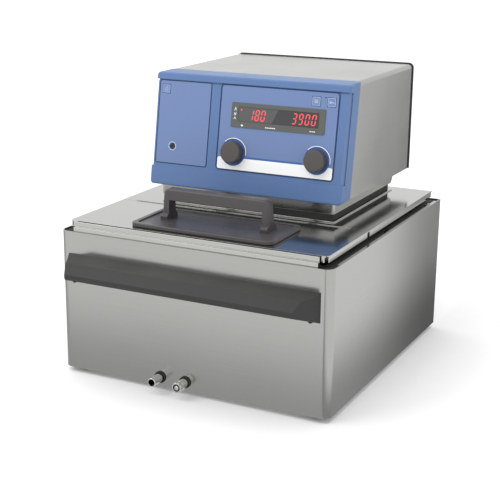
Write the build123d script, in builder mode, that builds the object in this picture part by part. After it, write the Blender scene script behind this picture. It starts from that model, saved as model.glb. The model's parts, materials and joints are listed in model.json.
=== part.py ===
"""Laboratory water bath with a heating circulator standing on its rear cover.

Frame: millimetres, +Z up, +X to the operator's right, +Y towards the back.
The origin is on the table, under the middle of the whole machine.
"""

import os

from math import cos, radians, sin

from build123d import *

os.makedirs("parts", exist_ok=True)

# Driving dimensions
sheet = 1.2  # casing and cover sheet steel
casing_width = 330.0
casing_depth = 346.0
casing_height = 162.0
foot_height = 7.2
casing_base = 6.0
casing_top = casing_base + casing_height
front_y = -160.0
rear_y = front_y + casing_depth
mid_y = (front_y + rear_y) / 2
corner_radius = 10.0

cover_top = casing_top + 11.0  # upper face of both covers
cover_half_width = 156.2
cover_front_y = front_y + 8.8
cover_rear_y = rear_y - 9.0
seam_y = front_y + 121.0  # where the two covers meet
skirt_drop = 7.0

tank_half_width = 146.8
tank_front_y = front_y + 16.8
tank_rear_y = rear_y - 13.8
tank_floor = 26.0
tank_wall = 1.0
tank_rim_z = cover_top - 2 * sheet

lid_centre = (3.5, -104.0)
lid_width = 173.0
lid_depth = 80.0
lid_underside = cover_top + 0.3

slant = 9.13  # backward lean of the head's front face, degrees
head_bottom = 201.7
head_top = 331.3
head_rear_y = 194.0
head_half_width = 119.0
bezel_half_width = 121.2  # over the two lips
face_origin = (0.0, -36.1, head_bottom)  # lower front edge of the bezel
face_height = 131.0
bezel_depth = 32.0  # front face to steel cover, measured along the face's normal

neck_front_y = front_y + 134.0
neck_rear_y = front_y + 321.0
neck_half_width = 110.0
neck_bottom = head_bottom - 13.2
seal_rear_y = neck_rear_y - 6.0

pump_axis = (0.0, 62.0)
knob_half_pitch = 51.5
knob_x = 36.7
knob_up = 46.5
knob_diameter = 25.0
knob_length = 9.2
shaft_diameter = 6.0

drain_z = 15.8
outlet_x = -36.0
valve_x = -4.5
drain_reach = 19.5  # how far the drain fittings stand out of the front panel

screw_head_diameter = 6.0


def save(part, name):
    """Labels one finished piece and writes its STEP file."""
    part.label = name
    export_step(part, f"parts/{name}.step")


def face_plane(x, up, out=0.0):
    """A plane on the head's slanted front face, its normal pointing at the operator.

    x is across, up is the distance up the slope from the lower edge and out is how far
    the plane stands in front of the face.
    """
    lean = radians(slant)
    origin = (
        face_origin[0] + x,
        face_origin[1] + up * sin(lean) - out * cos(lean),
        face_origin[2] + up * cos(lean) + out * sin(lean),
    )
    return Plane(origin=origin, x_dir=(1, 0, 0), z_dir=(0, -cos(lean), sin(lean)))


face_normal = Axis((0, 0, 0), (0, -cos(radians(slant)), sin(radians(slant))))


def front_plane(x, z, y=front_y):
    """A vertical plane facing the operator."""
    return Plane(origin=(x, y, z), x_dir=(1, 0, 0), z_dir=(0, -1, 0))


def side_plane(x=0.0):
    """A plane whose sketch axes are the row's Y and Z, its normal along +X."""
    return Plane(origin=(x, 0, 0), x_dir=(0, 1, 0), z_dir=(1, 0, 0))


# Bath casing
grip_screw_x = 144.0
grip_screw_z = 113.2

with BuildPart() as casing_wrap:
    with BuildSketch(Plane.XY.offset(casing_base)):
        with Locations((0, mid_y)):
            Rectangle(casing_width, casing_depth)
        fillet(vertices().group_by(Axis.Y)[0], corner_radius)
    extrude(amount=casing_height)
    # hollow, open at the back and at the top, with a return flange along the bottom
    with BuildSketch(Plane.XY.offset(casing_base + sheet)):
        with Locations((0, mid_y + sheet / 2)):
            Rectangle(casing_width - 2 * sheet, casing_depth - sheet)
        fillet(vertices().group_by(Axis.Y)[0], corner_radius - sheet)
    extrude(amount=casing_height - sheet, mode=Mode.SUBTRACT)
    with BuildSketch(Plane.XY.offset(casing_base)):
        with Locations((0, mid_y + 5)):
            Rectangle(casing_width - 20, casing_depth - 10)
    extrude(amount=sheet, mode=Mode.SUBTRACT)
    # hems along the top edges, stopping short of the corners
    with BuildSketch(Plane.XY.offset(casing_top - sheet)):
        with Locations((0, front_y + sheet + 0.5)):
            Rectangle(casing_width - 34, sheet)
        for side in (-1, 1):
            with Locations((side * (casing_width / 2 - 2.4), mid_y + 4)):
                Rectangle(4.0 - sheet / 2, casing_depth - 34)
            # two tabs per side that carry the tank's rim
            for share in (0.5, 0.9):
                with Locations((side * (casing_width / 2 - 4.2), front_y + share * casing_depth)):
                    Rectangle(7.2, 12.0)
    extrude(amount=sheet)
    # drain fittings and grip screws pass through the front panel
    with Locations(front_plane(outlet_x, drain_z), front_plane(valve_x, drain_z)):
        Cylinder(6.0, 10.0, mode=Mode.SUBTRACT)
    with Locations(front_plane(-grip_screw_x, grip_screw_z), front_plane(grip_screw_x, grip_screw_z)):
        Cylinder(1.6, 10.0, mode=Mode.SUBTRACT)
save(casing_wrap.part, "casing_wrap")

with BuildPart() as casing_rear_panel:
    with BuildSketch(Plane.XY.offset(casing_base + sheet)):
        with Locations((0, rear_y - sheet / 2)):
            Rectangle(casing_width - 2 * sheet, sheet)
    extrude(amount=casing_height - sheet)
    with BuildSketch(Plane.XY.offset(casing_top - sheet)):
        with Locations((0, rear_y - 4.0)):
            Rectangle(casing_width - 30, 8.0 - sheet / 2)
    extrude(amount=sheet)
save(casing_rear_panel.part, "casing_rear_panel")

foot_x = 145.0
foot_front_y = front_y + 20.0
foot_rear_y = rear_y - 20.0
foot_spots = [(x, y) for x in (-foot_x, foot_x) for y in (foot_front_y, foot_rear_y)]
base_plate_z = casing_base + sheet
foot_recess = 3.4

with BuildPart() as base_plate:
    with BuildSketch(Plane.XY.offset(base_plate_z)):
        with Locations((0, mid_y)):
            Rectangle(casing_width - 2 * sheet - 0.8, casing_depth - 2 * sheet - 0.8)
        fillet(vertices().group_by(Axis.Y)[0], corner_radius)
        with Locations(*foot_spots):
            Circle(2.1, mode=Mode.SUBTRACT)
        # ventilation slots under the insulation
        with GridLocations(24, 60, 5, 3):
            SlotOverall(40, 4, rotation=90, mode=Mode.SUBTRACT)
    extrude(amount=sheet)
save(base_plate.part, "base_plate")

with BuildPart() as feet:
    for spot in foot_spots:
        with BuildSketch(Plane.XY.offset(foot_height)):
            with Locations(spot):
                Circle(9.0)
        extrude(amount=-foot_height, taper=6)
    with Locations(*[Plane(origin=(x, y, 0), z_dir=(0, 0, -1)) for x, y in foot_spots]):
        CounterBoreHole(2.1, 4.2, foot_recess, depth=foot_height)
save(feet.part, "feet")

with BuildPart() as foot_screws:
    for x, y in foot_spots:
        with Locations((x, y, foot_recess - 2.6)):
            Cylinder(3.8, 2.6, align=(Align.CENTER, Align.CENTER, Align.MIN))
        with Locations((x, y, foot_recess)):
            Cylinder(2.0, 9.0, align=(Align.CENTER, Align.CENTER, Align.MIN))
save(foot_screws.part, "foot_screws")


# Inner tank and what surrounds it
tank_mid_y = (tank_front_y + tank_rear_y) / 2
tank_depth = tank_rear_y - tank_front_y
tank_corner = 24.0
tank_rim_front_y = cover_front_y + 1.7
tank_rim_rear_y = cover_rear_y - 2.0
inlet_y = -110.0  # the floor drain, behind the valve seat

with BuildPart() as inner_tank:
    with BuildSketch(Plane.XY.offset(tank_floor)):
        with Locations((0, tank_mid_y)):
            RectangleRounded(2 * tank_half_width, tank_depth, tank_corner)
    extrude(amount=tank_rim_z + sheet - tank_floor)
    fillet(edges().group_by(Axis.Z)[0], 10)
    offset(amount=-tank_wall, openings=faces().sort_by(Axis.Z)[-1])
    # rim flange that the covers lie on
    with BuildSketch(Plane.XY.offset(tank_rim_z)):
        with Locations((0, (tank_rim_front_y + tank_rim_rear_y) / 2)):
            RectangleRounded(308.0, tank_rim_rear_y - tank_rim_front_y, 6)
        with Locations((0, tank_mid_y)):
            RectangleRounded(
                2 * (tank_half_width - tank_wall),
                tank_depth - 2 * tank_wall,
                tank_corner - tank_wall,
                mode=Mode.SUBTRACT,
            )
    extrude(amount=sheet)
    with Locations((valve_x, inlet_y, tank_floor)):
        Cylinder(6.1, 6.0, mode=Mode.SUBTRACT)
save(inner_tank.part, "inner_tank")

insulation_bottom = 24.0
gasket_bottom = casing_top - 6.0

with BuildPart() as tank_insulation:
    with BuildSketch(Plane.XY.offset(insulation_bottom)):
        with Locations((0, mid_y - 1)):
            Rectangle(casing_width - 3.6, casing_depth - 6)
        fillet(vertices(), 9)
        with Locations((0, tank_mid_y)):
            RectangleRounded(2 * tank_half_width + 1.2, tank_depth + 1.2, tank_corner, mode=Mode.SUBTRACT)
    extrude(amount=gasket_bottom - 0.5 - insulation_bottom)
save(tank_insulation.part, "tank_insulation")

with BuildPart() as rim_gasket:
    with BuildSketch(Plane.XY.offset(gasket_bottom)):
        with Locations((0, mid_y + 1.0)):
            Rectangle(casing_width - 3.4, casing_depth - 5.6)
        fillet(vertices(), 8)
        with Locations((0, tank_mid_y)):
            Rectangle(2 * tank_half_width + 4, tank_depth + 10, mode=Mode.SUBTRACT)
    extrude(amount=4.5)
save(rim_gasket.part, "rim_gasket")

rim_half_length = 148.0

with BuildPart() as front_rim:
    # two steps of folded sheet, from behind the front panel up to the cover's edge
    with BuildSketch(side_plane(-rim_half_length)):
        with BuildLine():
            Polyline(
                (front_y + 2.4, casing_top - 5),
                (front_y + 2.4, casing_top + 5),
                (front_y + 5.5, casing_top + 5),
                (front_y + 5.5, cover_top - 0.4),
                (front_y + 6.7, cover_top - 0.4),
                (front_y + 6.7, casing_top + 3.8),
                (front_y + 3.6, casing_top + 3.8),
                (front_y + 3.6, casing_top - 5),
                close=True,
            )
        make_face()
    extrude(amount=2 * rim_half_length)
save(front_rim.part, "front_rim")


# Covers
lid_opening_width = 150.0
lid_opening_depth = 62.0
relief_x = 136.0
relief_radius = 1.5
cutout_half_width = 96.0
cutout_front_y = neck_front_y + 12
cutout_rear_y = neck_rear_y - 12


def cover_plate(y0, y1):
    """Adds a cover's flat sheet and the folded skirts along its two sides."""
    with BuildSketch(Plane.XY.offset(cover_top - sheet)) as flat:
        with Locations((0, (y0 + y1) / 2)):
            Rectangle(2 * cover_half_width, y1 - y0)
    extrude(flat.sketch, amount=sheet)
    with BuildSketch(Plane.XY.offset(cover_top - skirt_drop)) as skirts:
        for side in (-1, 1):
            with Locations((side * (cover_half_width - sheet / 2), (y0 + y1) / 2)):
                Rectangle(sheet, y1 - y0 - 6)
    extrude(skirts.sketch, amount=skirt_drop - sheet)


with BuildPart() as front_cover:
    cover_plate(cover_front_y, seam_y - 0.2)
    with BuildSketch(Plane.XY.offset(cover_top - skirt_drop)):
        with Locations((0, cover_front_y + sheet / 2)):
            Rectangle(2 * cover_half_width - 8, sheet)
    extrude(amount=skirt_drop - sheet)
    with BuildSketch(Plane.XY.offset(cover_top - sheet)):
        with Locations(lid_centre):
            RectangleRounded(lid_opening_width, lid_opening_depth, 8)
        with Locations((-relief_x, seam_y - 0.2), (relief_x, seam_y - 0.2)):
            Circle(relief_radius)
        for side in (-1, 1):
            with Locations((side * cover_half_width, cover_front_y)):
                Rectangle(5, 5)
    extrude(amount=sheet, mode=Mode.SUBTRACT)
save(front_cover.part, "front_cover")

with BuildPart() as rear_cover:
    cover_plate(seam_y + 0.2, cover_rear_y)
    with BuildSketch(Plane.XY.offset(cover_top - skirt_drop)):
        with Locations((0, cover_rear_y - sheet / 2)):
            Rectangle(2 * cover_half_width - 8, sheet)
    extrude(amount=skirt_drop - sheet)
    # hem folded back over the front edge, between the relief holes
    with BuildSketch(Plane.XY.offset(cover_top)):
        with Locations((0, seam_y + 1.4)):
            Rectangle(2 * relief_x - 4, 2.4)
    extrude(amount=0.8)
    with BuildSketch(Plane.XY.offset(cover_top - sheet)):
        with Locations((0, (cutout_front_y + cutout_rear_y) / 2)):
            RectangleRounded(2 * cutout_half_width, cutout_rear_y - cutout_front_y, 6)
        with Locations((-relief_x, seam_y + 0.2), (relief_x, seam_y + 0.2)):
            Circle(relief_radius)
        with Locations((-145.0, 77.0), (145.0, 77.0)):
            Circle(relief_radius)
    extrude(amount=sheet, mode=Mode.SUBTRACT)
save(rear_cover.part, "rear_cover")


# Lid with its bridge handle
lid_thickness = 4.2
lid_recess = 1.4
handle_centre_x = lid_centre[0] + 0.2
handle_half_width = 65.7
handle_top = cover_top + 37.6
handle_bar = 12.6
handle_post = 8.6
handle_front_y = -106.5
handle_thickness = 12.5
foot_height_on_lid = 5.2
foot_reach = 5.5  # how far each foot stands out in front of and behind the bar
post_draft = 1.7
lid_top = lid_underside + lid_thickness
lid_floor = lid_top - lid_recess

with BuildPart() as lid_plate:
    with BuildSketch(Plane.XY.offset(lid_underside)):
        with Locations(lid_centre):
            RectangleRounded(lid_width, lid_depth, 9)
    extrude(amount=lid_thickness)
    fillet(faces().sort_by(Axis.Z)[-1].edges(), 1.2)
    # dished middle inside a raised border
    with BuildSketch(Plane.XY.offset(lid_top)):
        with Locations(lid_centre):
            RectangleRounded(lid_width - 12, lid_depth - 12, 5)
    extrude(amount=-lid_recess, mode=Mode.SUBTRACT)
    # shallow lip that drops into the cover's opening
    with BuildSketch(Plane.XY.offset(lid_underside)):
        with Locations(lid_centre):
            RectangleRounded(lid_opening_width - 2, lid_opening_depth - 2, 7)
            RectangleRounded(lid_opening_width - 6, lid_opening_depth - 6, 5, mode=Mode.SUBTRACT)
    extrude(amount=-2.5)
save(lid_plate.part, "lid_plate")

with BuildPart() as lid_handle:
    rise = handle_top - lid_floor
    with BuildSketch(front_plane(handle_centre_x, lid_floor, handle_front_y - foot_reach)):
        with BuildLine():
            Polyline(
                (-handle_half_width, 0),
                (-handle_half_width + 1.5, rise),
                (handle_half_width - 1.5, rise),
                (handle_half_width, 0),
                close=True,
            )
        make_face()
        fillet(vertices().group_by(Axis.Y)[-1], 7)
        with Locations((0, (rise - handle_bar) / 2)):
            Rectangle(
                2 * (handle_half_width - handle_post), rise - handle_bar, mode=Mode.SUBTRACT
            )
    extrude(amount=-handle_thickness - 2 * foot_reach)
    # narrow bar above, drafted posts, and feet that reach forward and back
    half = handle_thickness / 2
    post_plane = Plane(
        origin=(handle_centre_x - handle_half_width, handle_front_y + half, lid_floor),
        x_dir=(0, 1, 0),
        z_dir=(1, 0, 0),
    )
    with BuildSketch(post_plane):
        with BuildLine():
            Polyline(
                (-half - foot_reach, 0),
                (-half - foot_reach, foot_height_on_lid - 1.5),
                (-half - foot_reach + 1.5, foot_height_on_lid),
                (-half - post_draft, foot_height_on_lid + 1.5),
                (-half, rise),
                (half, rise),
                (half + post_draft, foot_height_on_lid + 1.5),
                (half + foot_reach - 1.5, foot_height_on_lid),
                (half + foot_reach, foot_height_on_lid - 1.5),
                (half + foot_reach, 0),
                close=True,
            )
        make_face()
    extrude(amount=2 * handle_half_width, mode=Mode.INTERSECT)
    fillet(edges().filter_by(Axis.X).group_by(Axis.Z)[-1], 2.5)
save(lid_handle.part, "lid_handle")


# Grip bar across the front panel
grip_half_width = 153.3
grip_nose_y = front_y - 34.0
grip_nose_half_width = 137.0

with BuildPart() as front_grip:
    with BuildSketch(side_plane(-grip_half_width)):
        with BuildLine():
            Polyline(
                (front_y, casing_base + 137),
                (front_y - 13, casing_base + 133),
                (front_y - 24, casing_base + 133),
                (grip_nose_y, casing_base + 123),
                (grip_nose_y, casing_base + 119.5),
                (front_y - 31.5, casing_base + 116),
                (front_y, casing_base + 104.4),
                close=True,
            )
        make_face()
    extrude(amount=2 * grip_half_width)
    # ends bevelled from the panel out to the nose
    for side in (-1, 1):
        with BuildSketch(Plane.XY.offset(casing_base + 90)):
            with BuildLine():
                Polyline(
                    (side * grip_half_width, front_y),
                    (side * grip_nose_half_width, grip_nose_y),
                    (side * grip_nose_half_width, grip_nose_y - 10),
                    (side * (grip_half_width + 10), grip_nose_y - 10),
                    (side * (grip_half_width + 10), front_y),
                    close=True,
                )
            make_face()
        extrude(amount=60, mode=Mode.SUBTRACT)
    # finger pocket, open underneath
    with BuildSketch(side_plane(-130)):
        with BuildLine():
            Polyline(
                (front_y - 3.5, casing_base + 95),
                (front_y - 3.5, casing_base + 132.6),
                (front_y - 13.4, casing_base + 129.8),
                (front_y - 22.8, casing_base + 129.8),
                (front_y - 30.2, casing_base + 122),
                (front_y - 28.5, casing_base + 95),
                close=True,
            )
        make_face()
    extrude(amount=260, mode=Mode.SUBTRACT)
    # screw holes in the two ends
    with Locations(
        front_plane(-grip_screw_x, grip_screw_z, front_y - 20),
        front_plane(grip_screw_x, grip_screw_z, front_y - 20),
    ):
        CounterBoreHole(1.6, 3.2, 17.0, depth=20.0)
save(front_grip.part, "front_grip")

with BuildPart() as grip_screws:
    for side in (-1, 1):
        with Locations(front_plane(side * grip_screw_x, grip_screw_z, front_y - 3.0)):
            Cylinder(3.0, 2.0, align=(Align.CENTER, Align.CENTER, Align.MIN))
            Cylinder(1.5, 4.9, align=(Align.CENTER, Align.CENTER, Align.MAX))
save(grip_screws.part, "grip_screws")


# Drain: manifold under the tank floor, outlet tube and screw-down valve
manifold_front_y = front_y + 20.0
manifold_rear_y = inlet_y + 8.0
manifold_bottom = base_plate_z + sheet
manifold_top = tank_floor - 3.0
gallery_y = -120.0
seat_y = -116.0
outlet_radius = 5.0
outlet_inner_radius = 4.6  # where it runs inside the casing
outlet_bore = 4.0
spindle_radius = 3.0
sleeve_radius = 5.2
tip_y = front_y - drain_reach
outlet_step_y = front_y - 2.0

with BuildPart() as drain_manifold:
    with BuildSketch(Plane.XY.offset(manifold_bottom)):
        with Locations(((outlet_x + valve_x) / 2, (manifold_front_y + manifold_rear_y) / 2)):
            RectangleRounded(valve_x - outlet_x + 20, manifold_rear_y - manifold_front_y, 2)
    extrude(amount=manifold_top - manifold_bottom)
    with Locations((valve_x, inlet_y, manifold_top)):
        Cylinder(6.0, tank_floor + tank_wall - manifold_top, align=(Align.CENTER, Align.CENTER, Align.MIN))
    # inlet from the tank floor down to the valve bore
    with Locations((valve_x, inlet_y, drain_z)):
        Cylinder(4.0, 20.0, align=(Align.CENTER, Align.CENTER, Align.MIN), mode=Mode.SUBTRACT)
    with Locations(front_plane(valve_x, drain_z, manifold_front_y)):
        Cylinder(2.0, inlet_y - manifold_front_y, align=(Align.CENTER, Align.CENTER, Align.MAX), mode=Mode.SUBTRACT)
        Cylinder(
            spindle_radius + 0.05,
            seat_y - manifold_front_y,
            align=(Align.CENTER, Align.CENTER, Align.MAX),
            mode=Mode.SUBTRACT,
        )
        Cylinder(4.7, 14.0, align=(Align.CENTER, Align.CENTER, Align.MAX), mode=Mode.SUBTRACT)
    # gallery across to the outlet bore
    with Locations(Plane(origin=(valve_x, gallery_y, drain_z), z_dir=(-1, 0, 0))):
        Cylinder(
            2.5, valve_x - outlet_x, align=(Align.CENTER, Align.CENTER, Align.MIN), mode=Mode.SUBTRACT
        )
    with Locations(front_plane(outlet_x, drain_z, manifold_front_y)):
        Cylinder(
            outlet_bore,
            gallery_y + outlet_bore - manifold_front_y,
            align=(Align.CENTER, Align.CENTER, Align.MAX),
            mode=Mode.SUBTRACT,
        )
        Cylinder(
            outlet_inner_radius + 0.02,
            8.0,
            align=(Align.CENTER, Align.CENTER, Align.MAX),
            mode=Mode.SUBTRACT,
        )
save(drain_manifold.part, "drain_manifold")

with BuildPart() as drain_outlet:
    with BuildSketch(front_plane(outlet_x, drain_z, manifold_front_y + 8)):
        Circle(outlet_inner_radius)
        Circle(outlet_bore, mode=Mode.SUBTRACT)
    extrude(amount=manifold_front_y + 8 - outlet_step_y)
    with BuildSketch(front_plane(outlet_x, drain_z, outlet_step_y)):
        Circle(outlet_radius)
        Circle(outlet_bore, mode=Mode.SUBTRACT)
    extrude(amount=outlet_step_y - tip_y)
    chamfer(edges().group_by(Axis.Y)[0].sort_by(SortBy.RADIUS)[-1], 0.4)
save(drain_outlet.part, "drain_outlet")

with BuildPart() as drain_grommets:
    for x in (outlet_x, valve_x):
        with BuildSketch(front_plane(x, drain_z, front_y)):
            Circle(6.75)
            Circle(5.5, mode=Mode.SUBTRACT)
        extrude(amount=1.6)
        with BuildSketch(front_plane(x, drain_z, front_y + 3)):
            Circle(5.95)
            Circle(5.5, mode=Mode.SUBTRACT)
        extrude(amount=3.0)
save(drain_grommets.part, "drain_grommets")

ring_y = manifold_front_y + 11.0
ring_wire = 0.8
groove_radius = 2.5

with BuildPart() as valve_o_ring:
    with Locations(front_plane(valve_x, drain_z, ring_y)):
        Torus(groove_radius + 0.1 + ring_wire, ring_wire)
save(valve_o_ring.part, "valve_o_ring")

with BuildPart() as valve_spindle:
    # turned in one piece: cone tip, threaded stem, O-ring groove and outer sleeve
    with BuildSketch(Plane(origin=(valve_x, 0, drain_z), x_dir=(1, 0, 0), z_dir=(0, 0, 1))):
        with BuildLine():
            Polyline(
                (0, seat_y - 0.4),
                (1.6, seat_y - 0.4),
                (spindle_radius, seat_y - 3.4),
                (spindle_radius, ring_y + 1.2),
                (groove_radius, ring_y + 1.2),
                (groove_radius, ring_y - 1.2),
                (spindle_radius, ring_y - 1.2),
                (spindle_radius, manifold_front_y - 3),
                (sleeve_radius, manifold_front_y - 3),
                (sleeve_radius, tip_y + 8.5),
                (2.5, tip_y + 8.5),
                (2.5, tip_y + 0.6),
                (0, tip_y + 0.6),
                close=True,
            )
        make_face()
    revolve(axis=Axis((valve_x, 0, drain_z), (0, 1, 0)))
save(valve_spindle.part, "valve_spindle")

with BuildPart() as valve_knob:
    with BuildSketch(front_plane(valve_x, drain_z, tip_y + 8.5)):
        Circle(6.0)
        Circle(2.52, mode=Mode.SUBTRACT)
    extrude(amount=8.5)
    chamfer(edges().filter_by(GeomType.CIRCLE).sort_by(SortBy.RADIUS)[-2:], 0.5)
    # eight flats round the grip
    with BuildSketch(front_plane(valve_x, drain_z, tip_y + 6.5)):
        with PolarLocations(6.9, 8):
            Circle(1.6)
    extrude(amount=7.0, mode=Mode.SUBTRACT)
save(valve_knob.part, "valve_knob")


# Neck that carries the head on the rear cover
plate_thickness = 1.5
plate_top = cover_top + plate_thickness
neck_mid_y = (neck_front_y + neck_rear_y) / 2
neck_depth = neck_rear_y - neck_front_y
tube_outer = 14.0
heater_wire = 4.25
heater_leg_x = 62.0
heater_leg_y = 112.0
heater_front_y = 8.0
heater_z = 56.0
level_spot = (82.0, 62.0)
level_radius = 4.0
sensor_spots = [(-82.0, 54.0), (-82.0, 74.0)]
sensor_radius = 3.0
dip_top = head_bottom + 6.0  # upper ends of the dipping parts, inside the head

with BuildPart() as mounting_plate:
    with BuildSketch(Plane.XY.offset(cover_top)):
        with Locations((0, neck_mid_y)):
            RectangleRounded(2 * neck_half_width + 1, neck_depth, 3)
        with Locations(pump_axis):
            Circle(tube_outer + 0.2, mode=Mode.SUBTRACT)
        with Locations((-heater_leg_x, heater_leg_y), (heater_leg_x, heater_leg_y)):
            Circle(heater_wire + 0.3, mode=Mode.SUBTRACT)
        with Locations(level_spot):
            Circle(level_radius + 0.3, mode=Mode.SUBTRACT)
        with Locations(*sensor_spots):
            Circle(sensor_radius + 0.3, mode=Mode.SUBTRACT)
    extrude(amount=plate_thickness)
save(mounting_plate.part, "mounting_plate")

with BuildPart() as neck_seal:
    seal_mid_y = (neck_front_y + seal_rear_y) / 2
    seal_depth = seal_rear_y - neck_front_y
    with BuildSketch(Plane.XY.offset(plate_top)):
        with Locations((0, seal_mid_y)):
            RectangleRounded(2 * neck_half_width - 4, seal_depth, 4)
            Rectangle(2 * neck_half_width - 20, seal_depth - 16, mode=Mode.SUBTRACT)
    extrude(amount=neck_bottom - plate_top)
save(neck_seal.part, "neck_seal")

with BuildPart() as neck_housing:
    with BuildSketch(Plane.XY.offset(neck_bottom)):
        with Locations((0, neck_mid_y)):
            Rectangle(2 * neck_half_width, neck_depth)
    extrude(amount=head_bottom - neck_bottom)
    chamfer(edges().group_by(Axis.Z)[0].sort_by(Axis.Y)[-1], 5)
    fillet(edges().filter_by(Axis.Z).group_by(Axis.Y)[0], 3)
    with BuildSketch(Plane.XY.offset(neck_bottom)):
        with Locations((0, neck_mid_y)):
            Rectangle(2 * neck_half_width - 3, neck_depth - 14)
    extrude(amount=head_bottom - neck_bottom, mode=Mode.SUBTRACT)
save(neck_housing.part, "neck_housing")

nipple_radius = 8.0
nipple_bore = 4.5
nipple_length = 16.0
nipple_pitch = 44.0
nipple_z = 190.4
block_depth = 8.0

with BuildPart() as pump_outlet_block:
    with BuildSketch(Plane.XY.offset(plate_top + 0.4)):
        with Locations((0, neck_rear_y + block_depth / 2)):
            Rectangle(nipple_pitch + 28, block_depth)
    extrude(amount=head_bottom - plate_top - 0.8)
    fillet(edges().filter_by(Axis.Y), 3)
    for side in (-1, 1):
        with Locations(Plane(origin=(side * nipple_pitch / 2, neck_rear_y + block_depth, nipple_z), z_dir=(0, 1, 0))):
            Cylinder(nipple_radius, nipple_length, align=(Align.CENTER, Align.CENTER, Align.MIN))
            Hole(nipple_bore, depth=block_depth - 1)
            Cylinder(nipple_bore, nipple_length, align=(Align.CENTER, Align.CENTER, Align.MIN), mode=Mode.SUBTRACT)
    chamfer(edges().group_by(Axis.Y)[-1].filter_by(lambda e: e.radius > nipple_bore + 0.1), 1.0)
save(pump_outlet_block.part, "pump_outlet_block")


# Head: tray, folded cover and rear panel
head_panel_y = head_rear_y - 3.5  # front face of the rear panel
head_inner = head_half_width - sheet
tray_top = head_bottom + 2.5
cover_slope = face_plane(0, 0, -bezel_depth)

with BuildPart() as head_base:
    with BuildSketch(Plane.XY.offset(head_bottom)):
        with Locations((0, (head_panel_y + 1) / 2)):
            Rectangle(2 * head_inner - 0.6, head_panel_y - 1)
        with Locations(pump_axis):
            Circle(tube_outer + 0.3, mode=Mode.SUBTRACT)
        with Locations((-heater_leg_x, heater_leg_y), (heater_leg_x, heater_leg_y)):
            Circle(heater_wire + 0.4, mode=Mode.SUBTRACT)
        with Locations(level_spot):
            Circle(level_radius + 0.4, mode=Mode.SUBTRACT)
        with Locations(*sensor_spots):
            Circle(sensor_radius + 0.4, mode=Mode.SUBTRACT)
    extrude(amount=tray_top - head_bottom)
    # upturned side lips that the cover is screwed to
    with BuildSketch(Plane.XY.offset(tray_top)):
        for side in (-1, 1):
            with Locations((side * (head_inner - 1.3), head_panel_y / 2 + 8)):
                Rectangle(2.0, head_panel_y - 20)
    extrude(amount=8)
save(head_base.part, "head_base")

with BuildPart() as head_cover:
    with BuildSketch(front_plane(0, head_bottom, head_panel_y)):
        with Locations((0, (head_top - head_bottom) / 2)):
            Rectangle(2 * head_half_width, head_top - head_bottom)
        fillet(vertices().group_by(Axis.Y)[-1], 5)
        with Locations((0, (head_top - head_bottom - sheet) / 2 - 10)):
            RectangleRounded(
                2 * head_inner, head_top - head_bottom - sheet + 20, 5 - sheet, mode=Mode.SUBTRACT
            )
    extrude(amount=head_panel_y + 20)
    split(bisect_by=cover_slope, keep=Keep.BOTTOM)
save(head_cover.part, "head_cover")

rear_panel_thickness = 2.0
rear_panel_overlap = 1.2  # how far it stands out beyond the steel cover
rear_panel_face_y = head_panel_y + rear_panel_thickness
inlet_spot = (-78.0, 236.0)
inlet_size = (30.0, 48.0)
rear_screw_spots = [(x, z) for x in (-108.0, 0.0, 108.0) for z in (head_bottom + 10, head_top - 10)]

with BuildPart() as head_rear_panel:
    with BuildSketch(front_plane(0, head_bottom, rear_panel_face_y)):
        with Locations((0, (head_top + rear_panel_overlap - head_bottom) / 2)):
            Rectangle(2 * (head_half_width + rear_panel_overlap), head_top + rear_panel_overlap - head_bottom)
        fillet(vertices().group_by(Axis.Y)[-1], 5 + rear_panel_overlap)
        # fan grille: rows of slots above the motor
        with Locations((34, 84)):
            with GridLocations(10, 26, 11, 3):
                SlotOverall(22, 4, rotation=90, mode=Mode.SUBTRACT)
        with Locations((inlet_spot[0], inlet_spot[1] - head_bottom)):
            Rectangle(inlet_size[0] - 4, inlet_size[1] - 4, mode=Mode.SUBTRACT)
        with Locations(*[(x, z - head_bottom) for x, z in rear_screw_spots]):
            Circle(1.7, mode=Mode.SUBTRACT)
    extrude(amount=rear_panel_thickness)
save(head_rear_panel.part, "head_rear_panel")

with BuildPart() as rear_panel_screws:
    for x, z in rear_screw_spots:
        with Locations(Plane(origin=(x, rear_panel_face_y, z), z_dir=(0, 1, 0))):
            Cylinder(
                screw_head_diameter / 2,
                head_rear_y - rear_panel_face_y,
                align=(Align.CENTER, Align.CENTER, Align.MIN),
            )
            Cylinder(1.5, 8.0, align=(Align.CENTER, Align.CENTER, Align.MAX))
save(rear_panel_screws.part, "rear_panel_screws")

with BuildPart() as mains_inlet:
    # appliance inlet with a fuse drawer below it
    inlet_plane = Plane(origin=(inlet_spot[0], rear_panel_face_y, inlet_spot[1]), x_dir=(1, 0, 0), z_dir=(0, -1, 0))
    with BuildSketch(inlet_plane.offset(-1.2)):
        RectangleRounded(*inlet_size, 2)
    extrude(amount=1.2)
    with BuildSketch(inlet_plane):
        Rectangle(inlet_size[0] - 4.4, inlet_size[1] - 4.4)
    extrude(amount=26)
    with BuildSketch(inlet_plane.offset(-1.2)):
        with Locations((0, 8)):
            Rectangle(24, 17)
            chamfer(vertices().group_by(Axis.Y)[-1], 4)
    extrude(amount=18, mode=Mode.SUBTRACT)
    with BuildSketch(inlet_plane.offset(16.8)):
        with Locations((0, 8)):
            for pin_x, pin_y in ((-7, -2), (7, -2), (0, 2)):
                with Locations((pin_x, pin_y)):
                    Rectangle(2, 4)
    extrude(amount=-10)
    with BuildSketch(inlet_plane.offset(-1.2)):
        with Locations((0, -13)):
            Rectangle(22, 12)
            Rectangle(20, 10, mode=Mode.SUBTRACT)
    extrude(amount=0.8, mode=Mode.SUBTRACT)
save(mains_inlet.part, "mains_inlet")


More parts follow.
